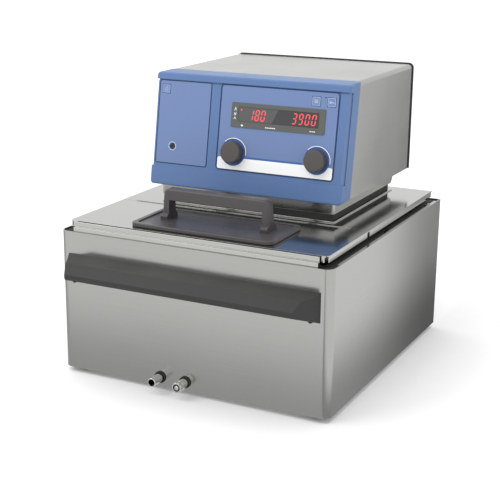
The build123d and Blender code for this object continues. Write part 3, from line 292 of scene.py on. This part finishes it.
def mergedCopy(nodeName, meshName):
    source = nodes[nodeName].data
    bare = bpy.data.meshes.new(meshName)
    bare.from_pydata(
        [vertex.co.copy() for vertex in source.vertices], [],
        [tuple(face.vertices) for face in source.polygons],
    )
    work = bmesh.new()
    work.from_mesh(bare)
    bmesh.ops.remove_doubles(work, verts=work.verts, dist=0.000002)
    bmesh.ops.dissolve_limit(
        work, angle_limit=math.radians(0.5), use_dissolve_boundaries=False,
        verts=work.verts, edges=work.edges,
    )
    work.to_mesh(bare)
    work.free()
    return bare


# node: (piece name, edge width in mm, segments)
brokenEdges = {
    "casing_wrap": ("casingShell", 0.35, 2),
    "front_cover": ("frontCoverSheet", 0.30, 2),
    "rear_cover": ("rearCoverSheet", 0.30, 2),
    "front_rim": ("foldedRim", 0.40, 2),
    "mounting_plate": ("neckPlate", 0.30, 2),
    "neck_housing": ("neckShell", 0.40, 2),
    "neck_seal": ("neckGasket", 0.50, 2),
    "lid_plate": ("lidTray", 0.45, 2),
    "lid_handle": ("lidBridge", 1.10, 3),
    "front_grip": ("gripBar", 0.70, 3),
    "head_cover": ("headShell", 0.25, 2),
    "head_rear_panel": ("rearWall", 0.30, 2),
    "bezel": ("blueBezel", 0.35, 2),
    "service_panel": ("servicePlate", 0.40, 2),
    "keypad_panel": ("keypadPlate", 0.40, 2),
    "label_strip": ("blankStrip", 0.06, 1),
    "display_frame": ("displayBorder", 0.20, 2),
    "display_window": ("displayGlass", 0.10, 1),
    "temperature_knob": ("temperatureGrip", 0.22, 2),
    "speed_knob": ("speedGrip", 0.22, 2),
    "power_key": ("powerCap", 0.15, 2),
    "menu_key": ("menuCap", 0.15, 2),
    "lock_key": ("lockCap", 0.15, 2),
    "mains_inlet": ("inletShell", 0.25, 2),
    "feet": ("rubberFeet", 0.50, 2),
    "pump_outlet_block": ("hoseBlock", 0.25, 2),
    "casing_rear_panel": ("casingBack", 0.25, 2),
    "rear_panel_screws": ("rearScrewHeads", 0.60, 3),
    "foot_screws": ("footScrewHeads", 0.50, 2),
    "grip_screws": ("gripScrewHeads", 0.50, 2),
    "valve_knob": ("valveGrip", 0.20, 2),
    "drain_outlet": ("outletTube", 0.15, 2),
}

for nodeName, (pieceName, width, segments) in brokenEdges.items():
    piece = finishPiece(
        pieceName, mergedCopy(nodeName, pieceName), nodeFinish[nodeName],
        nodes[nodeName]["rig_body"], stands=(nodeName,),
    )
    edge = piece.modifiers.new("brokenEdge", "BEVEL")
    edge.width = width * mm
    edge.segments = segments
    edge.limit_method = "ANGLE"
    edge.angle_limit = math.radians(34)
    edge.harden_normals = True
print("pieces with broken edges:", len(brokenEdges))


# The slanted control face. Spots on it are (x across, distance up the slope, distance out of it), in mm.

faceOut = Vector(jointOf["temperature_turn"]["axis"]).normalized()
faceRight = Vector((1, 0, 0))
faceUp = faceOut.cross(faceRight)
leftKnob = (-14.8, 46.5)
rightKnob = (88.2, 46.5)
faceOrigin = (
    Vector(jointOf["temperature_turn"]["pos_m"])
    - faceRight * leftKnob[0] * mm - faceUp * leftKnob[1] * mm
)


def onFace(x, up, out=0.0):
    return faceOrigin + (faceRight * x + faceUp * up + faceOut * out) * mm


def bar(x, up, width, height, turn=0.0):
    c, s = math.cos(math.radians(turn)), math.sin(math.radians(turn))
    corners = [(-width / 2, -height / 2), (width / 2, -height / 2), (width / 2, height / 2), (-width / 2, height / 2)]
    return [(x + a * c - b * s, up + a * s + b * c) for a, b in corners]


def ringSector(x, up, inner, outer, start, end, steps=48):
    outline = []
    for radius, order in ((outer, range(steps + 1)), (inner, range(steps, -1, -1))):
        for step in order:
            angle = math.radians(start + (end - start) * step / steps)
            outline.append((x + radius * math.cos(angle), up + radius * math.sin(angle)))
    return outline


def disc(x, up, radius, steps=24):
    return [
        (x + radius * math.cos(2 * math.pi * k / steps), up + radius * math.sin(2 * math.pi * k / steps))
        for k in range(steps)
    ]


def squareOutline(x, up, size, stroke):
    half = size / 2
    return [
        bar(x, up + half - stroke / 2, size, stroke),
        bar(x, up - half + stroke / 2, size, stroke),
        bar(x - half + stroke / 2, up, stroke, size - 2 * stroke),
        bar(x + half - stroke / 2, up, stroke, size - 2 * stroke),
    ]


strokeOverlap = 0.6  # share of a stroke's width that each bar runs past its ends


def strokeLine(points, stroke):
    bars = []
    for (xa, ua), (xb, ub) in zip(points, points[1:]):
        length = math.hypot(xb - xa, ub - ua)
        turn = math.degrees(math.atan2(ub - ua, xb - xa))
        bars.append(bar((xa + xb) / 2, (ua + ub) / 2, length + stroke * strokeOverlap, stroke, turn))
    return bars


def faceFilm(name, outlines, out, thickness, finishName, body):
    work = bmesh.new()
    for outline in outlines:
        back = [work.verts.new(onFace(x, up, out)) for x, up in outline]
        front = [work.verts.new(onFace(x, up, out + thickness)) for x, up in outline]
        work.faces.new(front)
        work.faces.new(back[::-1])
        for k in range(len(outline)):
            n = (k + 1) % len(outline)
            work.faces.new((back[k], back[n], front[n], front[k]))
    mesh = bpy.data.meshes.new(name)
    work.to_mesh(mesh)
    work.free()
    return finishPiece(name, mesh, finishName, body)


def lowOut(nodeName):  # how far the front of a node stands out of the face plane, in mm
    mesh = nodes[nodeName].data
    return max((vertex.co - faceOrigin).dot(faceOut) for vertex in mesh.vertices) / mm


keypadFront = lowOut("menu_key") - 0.25
glassFront = lowOut("display_window")
frameFront = lowOut("display_frame")
keyFront = lowOut("menu_key")

sevenSegments = {
    "0": "abcdef", "1": "bc", "3": "abcdg", "8": "abcdefg", "9": "abcdfg",
}
digitLook = dict(height=12.4, width=5.4, stroke=1.35, gap=0.22, slant=0.14)


def digitOutlines(text, x, up, pitch, look=digitLook):
    w, h, t, g = look["width"], look["height"], look["stroke"], look["gap"]
    spots = {
        "a": (0, h / 2 - t / 2, w - t, 0), "d": (0, -h / 2 + t / 2, w - t, 0), "g": (0, 0, w - t, 0),
        "b": (w / 2 - t / 2, h / 4 - t / 8, h / 2 - t * 0.75, 90),
        "c": (w / 2 - t / 2, -h / 4 + t / 8, h / 2 - t * 0.75, 90),
        "f": (-w / 2 + t / 2, h / 4 - t / 8, h / 2 - t * 0.75, 90),
        "e": (-w / 2 + t / 2, -h / 4 + t / 8, h / 2 - t * 0.75, 90),
    }
    outlines = []
    for place, character in enumerate(text):
        for segment in sevenSegments[character]:
            a, b, length, turn = spots[segment]
            half, tip = length / 2 - g, t / 2 - 0.1
            lowSide = [(-half, 0), (-half + tip, -tip), (half - tip, -tip)]
            highSide = [(half, 0), (half - tip, tip), (-half + tip, tip)]
            shape = lowSide + highSide
            if turn:
                shape = [(-q, p) for p, q in shape]
            outlines.append([(x + place * pitch + a + p + (b + q) * look["slant"], up + b + q) for p, q in shape])
    return outlines


filmLift = 0.02
filmThick = 0.04
redReadout = dict(left=(4.7, 90.0, 7.3), right=(57.8, 90.2, 7.8))

faceFilm(
    "readoutLeft", digitOutlines("180", *redReadout["left"]), glassFront + filmLift, filmThick,
    "ledRed", "bath",
)
faceFilm(
    "readoutRight", digitOutlines("3900", *redReadout["right"]), glassFront + filmLift, filmThick,
    "ledRed", "bath",
)
faceFilm("readoutDot", [disc(-8.0, 95.0, 0.9)], glassFront + filmLift, filmThick, "ledRed", "bath")
# The display glass is lighter left of a slanted line.
faceFilm(
    "glassLeftLighter", [[(-11.5, 82.3), (30.2, 82.3), (37.6, 98.1), (-11.5, 98.1)]],
    glassFront, 0.015, "lighterGlass", "bath",
)

displayMarks = (
    [disc(-6.0, 77.6, 1.15)]
    + strokeLine([(-16.9, 84.2), (-15.6, 86.6), (-14.3, 84.2)], 0.55)
    + strokeLine([(-16.9, 88.6), (-16.2, 91.4), (-15.2, 88.8), (-14.4, 91.6)], 0.55)
    + strokeLine([(-16.6, 93.8), (-15.4, 97.4), (-14.5, 94.2)], 0.55)
    + [bar(24.0 + 2.6 * k, 77.4, 1.9, 1.0) for k in range(5)]
    + [bar(78.0 + 2.4 * k, 77.8, 1.7, 0.9) for k in range(3)]
)
faceFilm("displayMarks", displayMarks, frameFront, filmThick, "whitePrint", "bath")

for pieceName, (x, up) in {"leftKnobArc": leftKnob, "rightKnobArc": rightKnob}.items():
    faceFilm(
        pieceName, [ringSector(x, up, 15.6, 16.4, -8, 136)], keypadFront, filmThick,
        "whitePrint", "bath",
    )

# The strip band is painted shade: a dark blue band in the groove above the label strip.
stripBand = dict(low=40.5, high=42.6, left=1.6, right=71.8)
faceFilm(
    "stripBand",
    [[(stripBand["left"], stripBand["low"]), (stripBand["right"], stripBand["low"]),
      (stripBand["right"], stripBand["high"]), (stripBand["left"] - 0.4, stripBand["high"])]],
    keypadFront, 0.02, "paintedBlueShade", "bath",
)

powerSpot, menuSpot, lockSpot = (-107.3, 112.2), (81.9, 111.3), (100.2, 111.3)
powerGlyph = squareOutline(*powerSpot, 8.8, 0.42) + [
    ringSector(powerSpot[0], powerSpot[1] - 0.2, 1.5, 2.1, 125, 415, 32),
    bar(powerSpot[0], powerSpot[1] + 1.6, 0.55, 2.4),
]
faceFilm("powerGlyph", powerGlyph, keyFront, filmThick, "paleBluePrint", "power_key")
menuGlyph = squareOutline(*menuSpot, 9.0, 0.34) + [
    bar(menuSpot[0], menuSpot[1] + 1.5 * k, 4.6, 0.55) for k in (-1, 0, 1)
]
faceFilm("menuGlyph", menuGlyph, keyFront, filmThick, "softWhitePrint", "menu_key")
lockGlyph = squareOutline(*lockSpot, 9.0, 0.34) + [
    ringSector(lockSpot[0] - 1.6, lockSpot[1] - 0.2, 0.65, 1.25, 0, 360, 20),
    bar(lockSpot[0] + 1.1, lockSpot[1] - 0.2, 3.6, 0.6),
    bar(lockSpot[0] + 2.6, lockSpot[1] - 0.8, 0.6, 1.0),
]
faceFilm("lockGlyph", lockGlyph, keyFront, filmThick, "softWhitePrint", "lock_key")
faceFilm("lockLamp", [disc(92.8, 116.1, 0.8)], keypadFront, filmThick, "smokedFilter", "bath")

# Painted shade down in the grooves: dark blue films in the pockets round both panels and in the dishes under the knobs.
grooveShade = dict(
    pocketFloor=-2.18, dishFloor=-1.495, film=0.04,
    servicePanel=(-82.4, 74.0, 66.8, 95.0, 1.0), keypadPanel=(36.7, 74.0, 142.6, 94.6, 1.7),
    dish=(6.0, 15.3),
)


def gapBars(x, up, width, height, gap):
    return [
        bar(x, up + (height + gap) / 2, width + 2 * gap, gap),
        bar(x, up - (height + gap) / 2, width + 2 * gap, gap),
        bar(x - (width + gap) / 2, up, gap, height),
        bar(x + (width + gap) / 2, up, gap, height),
    ]


pocketShades = gapBars(*grooveShade["servicePanel"]) + gapBars(*grooveShade["keypadPanel"])
faceFilm(
    "pocketShades", pocketShades, grooveShade["pocketFloor"], grooveShade["film"],
    "paintedGrooveShade", "bath",
)
faceFilm(
    "dishShades",
    [ringSector(x, up, *grooveShade["dish"], half, half + 180) for x, up in (leftKnob, rightKnob) for half in (0, 180)],
    grooveShade["dishFloor"], grooveShade["film"], "paintedBlueShade", "bath",
)
dialSpot = (-94.6, 46.4)
dialRing = [ringSector(*dialSpot, 4.2, 5.2, start, start + 38, 10) for start in range(0, 360, 45)]
faceFilm("dialRing", dialRing, -0.345, 0.03, "softWhitePrint", "bath")
dialShade = [ringSector(*dialSpot, 3.4, 4.1, half, half + 180) for half in (0, 180)]
faceFilm("dialShade", dialShade, -0.695, 0.03, "paintedBlueShade", "bath")
print("control face: readouts, glyphs, arcs, grooves")


# Turned details on the drain fittings. A profile is (radius, distance behind the fitting's tip), in mm.
drainLook = dict(
    height=15.8, tip=-179.5, outletX=-36.0, valveX=-4.5,
    recess=[(2.55, 0.0), (2.55, -0.03), (4.3, -0.03), (4.3, 0.0)],
    screwEnd=[(0.0, 0.05), (0.9, 0.10), (1.7, 0.30), (2.2, 0.75), (2.3, 1.2), (0.0, 1.2)],
    ventHole=dict(back=4.6, radius=0.85, turn=62),
)


def turnedPiece(name, x, profile, finishName, body, steps=40):
    work = bmesh.new()
    rings = []
    for radius, back in profile:
        if radius == 0:
            rings.append([work.verts.new(Vector((x, drainLook["tip"] + back, drainLook["height"])) * mm)])
            continue
        rings.append([
            work.verts.new(Vector((
                x + radius * math.cos(2 * math.pi * k / steps),
                drainLook["tip"] + back,
                drainLook["height"] + radius * math.sin(2 * math.pi * k / steps),
            )) * mm)
            for k in range(steps)
        ])
    closed = len(rings[0]) > 1
    pairs = list(zip(rings, rings[1:])) + ([(rings[-1], rings[0])] if closed else [])
    for one, other in pairs:
        for k in range(steps):
            n = (k + 1) % steps
            corners = [one[k % len(one)], one[n % len(one)], other[n % len(other)], other[k % len(other)]]
            work.faces.new(list(dict.fromkeys(corners)))
    bmesh.ops.recalc_face_normals(work, faces=work.faces)
    mesh = bpy.data.meshes.new(name)
    work.to_mesh(mesh)
    work.free()
    return finishPiece(name, mesh, finishName, body)


# A thin dark ring on the valve knob's tip: painted shade for its recess.
turnedPiece("valveRecessShade", drainLook["valveX"], drainLook["recess"], "boreShadow", "valve")
turnedPiece("valveScrewEnd", drainLook["valveX"], drainLook["screwEnd"], "turnedSteel", "valve")

# The vent hole is a thin dark disc on the outlet tube: painted shade standing in for the hole.
ventHole = drainLook["ventHole"]
ventTurn = math.radians(ventHole["turn"])
ventMesh = bpy.data.meshes.new("outletVentHoleShade")
ventWork = bmesh.new()
bmesh.ops.create_cone(
    ventWork, cap_ends=True, segments=20,
    radius1=ventHole["radius"] * mm, radius2=ventHole["radius"] * mm, depth=0.3 * mm,
    matrix=Matrix.Translation(Vector((
        drainLook["outletX"] - 4.88 * math.cos(ventTurn), drainLook["tip"] + ventHole["back"],
        drainLook["height"] + 4.88 * math.sin(ventTurn),
    )) * mm) @ Matrix.Rotation(ventTurn - math.pi / 2, 4, "Y"),
)
ventWork.to_mesh(ventMesh)
ventWork.free()
finishPiece("outletVentHoleShade", ventMesh, "boreShadow", "bath")
print("drain fittings: recess, screw end, vent hole")


# Repeated small parts, built with Geometry Nodes and turned into plain meshes.

def repeatTree(name, sizes):
    tree = bpy.data.node_groups.new(name, "GeometryNodeTree")
    tree.interface.new_socket("Geometry", in_out="INPUT", socket_type="NodeSocketGeometry")
    tree.interface.new_socket("Geometry", in_out="OUTPUT", socket_type="NodeSocketGeometry")
    for label, kind in sizes:
        tree.interface.new_socket(label, in_out="INPUT", socket_type=kind)
    return tree, tree.nodes.new("NodeGroupInput"), tree.nodes.new("NodeGroupOutput")


def finishRepeat(tree, entry, leave, points, shape):
    place = tree.nodes.new("GeometryNodeInstanceOnPoints")
    real = tree.nodes.new("GeometryNodeRealizeInstances")
    paint = tree.nodes.new("GeometryNodeSetMaterial")
    tree.links.new(points, place.inputs["Points"])
    tree.links.new(shape, place.inputs["Instance"])
    tree.links.new(place.outputs["Instances"], real.inputs["Geometry"])
    tree.links.new(real.outputs["Geometry"], paint.inputs["Geometry"])
    tree.links.new(entry.outputs["Finish"], paint.inputs["Material"])
    tree.links.new(paint.outputs["Geometry"], leave.inputs["Geometry"])


# The crosses are thin dark films on the screw heads: painted shade standing in for the cross recesses.
def crossTree():  # a cross recess on every point, its face towards +Y
    tree, entry, leave = repeatTree("screwCross", [
        ("Blade Length", "NodeSocketFloat"), ("Blade Width", "NodeSocketFloat"),
        ("Blade Depth", "NodeSocketFloat"), ("Finish", "NodeSocketMaterial"),
    ])
    both = tree.nodes.new("GeometryNodeJoinGeometry")
    for order in (("Blade Length", "Blade Width"), ("Blade Width", "Blade Length")):
        size = tree.nodes.new("ShaderNodeCombineXYZ")
        blade = tree.nodes.new("GeometryNodeMeshCube")
        tree.links.new(entry.outputs[order[0]], size.inputs["X"])
        tree.links.new(entry.outputs["Blade Depth"], size.inputs["Y"])
        tree.links.new(entry.outputs[order[1]], size.inputs["Z"])
        tree.links.new(size.outputs["Vector"], blade.inputs["Size"])
        tree.links.new(blade.outputs["Mesh"], both.inputs["Geometry"])
    finishRepeat(tree, entry, leave, entry.outputs["Geometry"], both.outputs["Geometry"])
    return tree


def threadTree():  # a stack of thread crests along +Y from every point
    tree, entry, leave = repeatTree("threadCrests", [
        ("Crest Radius", "NodeSocketFloat"), ("Wire Radius", "NodeSocketFloat"), ("Pitch", "NodeSocketFloat"),
        ("Crest Count", "NodeSocketInt"), ("Finish", "NodeSocketMaterial"),
    ])
    step = tree.nodes.new("ShaderNodeCombineXYZ")
    row = tree.nodes.new("GeometryNodeMeshLine")
    crest = tree.nodes.new("GeometryNodeCurvePrimitiveCircle")
    wire = tree.nodes.new("GeometryNodeCurvePrimitiveCircle")
    skin = tree.nodes.new("GeometryNodeCurveToMesh")
    turn = tree.nodes.new("GeometryNodeTransform")
    stack = tree.nodes.new("GeometryNodeInstanceOnPoints")
    crest.inputs["Resolution"].default_value = 48
    wire.inputs["Resolution"].default_value = 8
    turn.inputs["Rotation"].default_value = (math.pi / 2, 0, 0)
    tree.links.new(entry.outputs["Pitch"], step.inputs["Y"])
    tree.links.new(step.outputs["Vector"], row.inputs["Offset"])
    tree.links.new(entry.outputs["Crest Count"], row.inputs["Count"])
    tree.links.new(entry.outputs["Crest Radius"], crest.inputs["Radius"])
    tree.links.new(entry.outputs["Wire Radius"], wire.inputs["Radius"])
    tree.links.new(crest.outputs["Curve"], skin.inputs["Curve"])
    tree.links.new(wire.outputs["Curve"], skin.inputs["Profile Curve"])
    tree.links.new(skin.outputs["Mesh"], turn.inputs["Geometry"])
    tree.links.new(row.outputs["Mesh"], stack.inputs["Points"])
    tree.links.new(turn.outputs["Geometry"], stack.inputs["Instance"])
    finishRepeat(tree, entry, leave, entry.outputs["Geometry"], stack.outputs["Instances"])
    return tree


def repeatedPiece(name, spots, tree, sizes, finishName, body):
    seed = bpy.data.meshes.new(name + "Spots")
    seed.from_pydata([Vector(spot) * mm for spot in spots], [], [])
    holder = bpy.data.objects.new(name + "Spots", seed)
    bpy.context.scene.collection.objects.link(holder)
    maker = holder.modifiers.new(name, "NODES")
    maker.node_group = tree
    socketId = {
        item.name: item.identifier for item in tree.interface.items_tree
        if item.item_type == "SOCKET" and item.in_out == "INPUT"
    }
    for label, value in sizes.items():
        maker[socketId[label]] = value
    maker[socketId["Finish"]] = finishes[finishName]
    seen = holder.evaluated_get(bpy.context.evaluated_depsgraph_get())
    mesh = bpy.data.meshes.new_from_object(seen)
    holder.modifiers.remove(maker)
    bpy.data.objects.remove(holder)
    work = bmesh.new()
    work.from_mesh(mesh)
    bmesh.ops.recalc_face_normals(work, faces=work.faces)
    work.to_mesh(mesh)
    work.free()
    return finishPiece(name, mesh, finishName, body)


screwCross = crossTree()
threadCrests = threadTree()
rearScrewSpots = [(x, 194.0, z) for x in (-108.0, 0.0, 108.0) for z in (211.7, 321.3)]
repeatedPiece(
    "rearScrewCrosses", rearScrewSpots, screwCross,
    {"Blade Length": 3.4 * mm, "Blade Width": 0.8 * mm, "Blade Depth": 0.06 * mm},
    "boreShadow", "bath",
)
gripScrewSpots = [(x, -165.0, 113.2) for x in (-144.0, 144.0)]
repeatedPiece(
    "gripScrewCrosses", gripScrewSpots, screwCross,
    {"Blade Length": 3.2 * mm, "Blade Width": 0.7 * mm, "Blade Depth": 0.06 * mm},
    "boreShadow", "bath",
)
repeatedPiece(
    "pumpThreads", [(-22.0, 171.5, 190.4), (22.0, 171.5, 190.4)], threadCrests,
    {"Crest Radius": 7.95 * mm, "Wire Radius": 0.32 * mm, "Pitch": 1.2 * mm, "Crest Count": 10},
    "turnedSteel", "bath",
)
print("repeated parts: screw recesses, pump threads")


# Floor, light and camera.

floorMesh = bpy.data.meshes.new("floor")
floorMesh.from_pydata([(-6, -6, 0), (6, -6, 0), (6, 6, 0), (-6, 6, 0)], [], [(0, 1, 2, 3)])
floorPaint = buildFinish("floorPaint", dict(
    colour=(0.86, 0.86, 0.86), tint=(0.90, 0.90, 0.90), grain=(40, 40, 40), smudge=2,
    rough=(0.55, 0.65), bump=0.0, bumpDepth=0.0001, shader={},
))
floorMesh.materials.append(floorPaint)
floor = bpy.data.objects.new("floor", floorMesh)
bpy.context.scene.collection.objects.link(floor)

# A painted reflection of the floor for polished sheet to mirror: a glowing sheet with painted shade, darker close to
# the casing, and on the right fading towards the rear. Only reflections see it.
paintedFloorReflection = dict(
    halfWidth=0.165, frontY=-0.16, frontReach=0.30, frontGlow=(0.62, 1.10),
    sideNear=0.02, sideFar=0.14, sideGlow=(0.42, 1.0), slant=2.845,
    fadeStart=-0.16, fadeEnd=0.19, fadeGlow=(1.10, 0.40),
)
mirrorMesh = bpy.data.meshes.new("paintedFloorReflection")
mirrorMesh.from_pydata([(-5, -5, 0.0004), (5, -5, 0.0004), (5, 5, 0.0004), (-5, 5, 0.0004)], [], [(0, 1, 2, 3)])
paintedReflectionPaint = bpy.data.materials.new("paintedReflectionPaint")
paintedReflectionPaint.use_nodes = True
mirrorTree = paintedReflectionPaint.node_tree
mirrorTree.nodes.clear()


def sum2(operation, one, other):
    node = mirrorTree.nodes.new("ShaderNodeMath")
    node.operation = operation
    for socket, value in zip(node.inputs, (one, other)):
        if isinstance(value, (int, float)):
            socket.default_value = value
        elif value is not None:
            mirrorTree.links.new(value, socket)
    return node.outputs["Value"]


def ramp(value, start, end, low, high):
    node = mirrorTree.nodes.new("ShaderNodeMapRange")
    node.interpolation_type = "SMOOTHSTEP"
    for label, number in (("From Min", start), ("From Max", end), ("To Min", low), ("To Max", high)):
        node.inputs[label].default_value = number
    mirrorTree.links.new(value, node.inputs["Value"])
    return node.outputs["Result"]


where = mirrorTree.nodes.new("ShaderNodeTexCoord")
split = mirrorTree.nodes.new("ShaderNodeSeparateXYZ")
mirrorTree.links.new(where.outputs["Object"], split.inputs["Vector"])
across = sum2("SUBTRACT", split.outputs["X"], paintedFloorReflection["halfWidth"])
ahead = sum2("SUBTRACT", paintedFloorReflection["frontY"], split.outputs["Y"])
rearward = sum2("SUBTRACT", split.outputs["Y"], sum2("MULTIPLY", across, paintedFloorReflection["slant"]))
frontGlow = ramp(ahead, 0.0, paintedFloorReflection["frontReach"], *paintedFloorReflection["frontGlow"])
sideGlow = sum2(
    "MULTIPLY",
    ramp(across, paintedFloorReflection["sideNear"], paintedFloorReflection["sideFar"], *paintedFloorReflection["sideGlow"]),
    ramp(rearward, paintedFloorReflection["fadeStart"], paintedFloorReflection["fadeEnd"], *paintedFloorReflection["fadeGlow"]),
)
onSide = sum2("GREATER_THAN", across, 0.0)
glow = sum2(
    "ADD",
    sum2("MULTIPLY", sideGlow, onSide),
    sum2("MULTIPLY", frontGlow, sum2("SUBTRACT", 1.0, onSide)),
)
mirrorLight = mirrorTree.nodes.new("ShaderNodeEmission")
mirrorEnd = mirrorTree.nodes.new("ShaderNodeOutputMaterial")
mirrorTree.links.new(glow, mirrorLight.inputs["Strength"])
mirrorTree.links.new(mirrorLight.outputs["Emission"], mirrorEnd.inputs["Surface"])
mirrorMesh.materials.append(paintedReflectionPaint)
paintedReflectionPlate = bpy.data.objects.new("paintedFloorReflection", mirrorMesh)
bpy.context.scene.collection.objects.link(paintedReflectionPlate)
paintedReflectionPlate.visible_camera = False
paintedReflectionPlate.visible_diffuse = False
paintedReflectionPlate.visible_shadow = False
paintedReflectionPlate.visible_transmission = False
paintedReflectionPaint.cycles.emission_sampling = "NONE"

world = bpy.data.worlds.new("studio")
world.use_nodes = True
world.node_tree.nodes["Background"].inputs["Color"].default_value = (1.0, 1.0, 1.0, 1.0)
world.node_tree.nodes["Background"].inputs["Strength"].default_value = 1.0
bpy.context.scene.world = world

lamps = {
    "skyLight": dict(kind="SUN", spot=(-0.6, -0.4, 2.4), strength=1.35, spread=1.3),
    "keySoftbox": dict(kind="AREA", spot=(-1.5, -1.5, 1.9), strength=14, spread=1.5),
}
for lampName, look in lamps.items():
    lamp = bpy.data.lights.new(lampName, look["kind"])
    lamp.energy = look["strength"]
    if look["kind"] == "SUN":
        lamp.angle = look["spread"]
    else:
        lamp.shape = "SQUARE"
        lamp.size = look["spread"]
    light = bpy.data.objects.new(lampName, lamp)
    light.location = look["spot"]
    light.visible_glossy = look["kind"] != "SUN"
    light.rotation_euler = (Vector((0, 0, 0.15)) - Vector(look["spot"])).to_track_quat("-Z", "Y").to_euler()
    bpy.context.scene.collection.objects.link(light)

cameraLook = dict(
    spot=(0.5901, -1.2078, 0.5125), target=(-0.04937, -0.02457, 0.11107), lens=85.11, shift=(0.0843, 0.0243),
)
cameraData = bpy.data.cameras.new("camera")
cameraData.sensor_width = 36.0
cameraData.lens = cameraLook["lens"]
cameraData.shift_x, cameraData.shift_y = cameraLook["shift"]
camera = bpy.data.objects.new("camera", cameraData)
camera.location = cameraLook["spot"]
camera.rotation_euler = (Vector(cameraLook["target"]) - Vector(cameraLook["spot"])).to_track_quat("-Z", "Y").to_euler()
bpy.context.scene.collection.objects.link(camera)
bpy.context.scene.camera = camera
bpy.context.scene.view_settings.view_transform = "Standard"
print("studio ready")
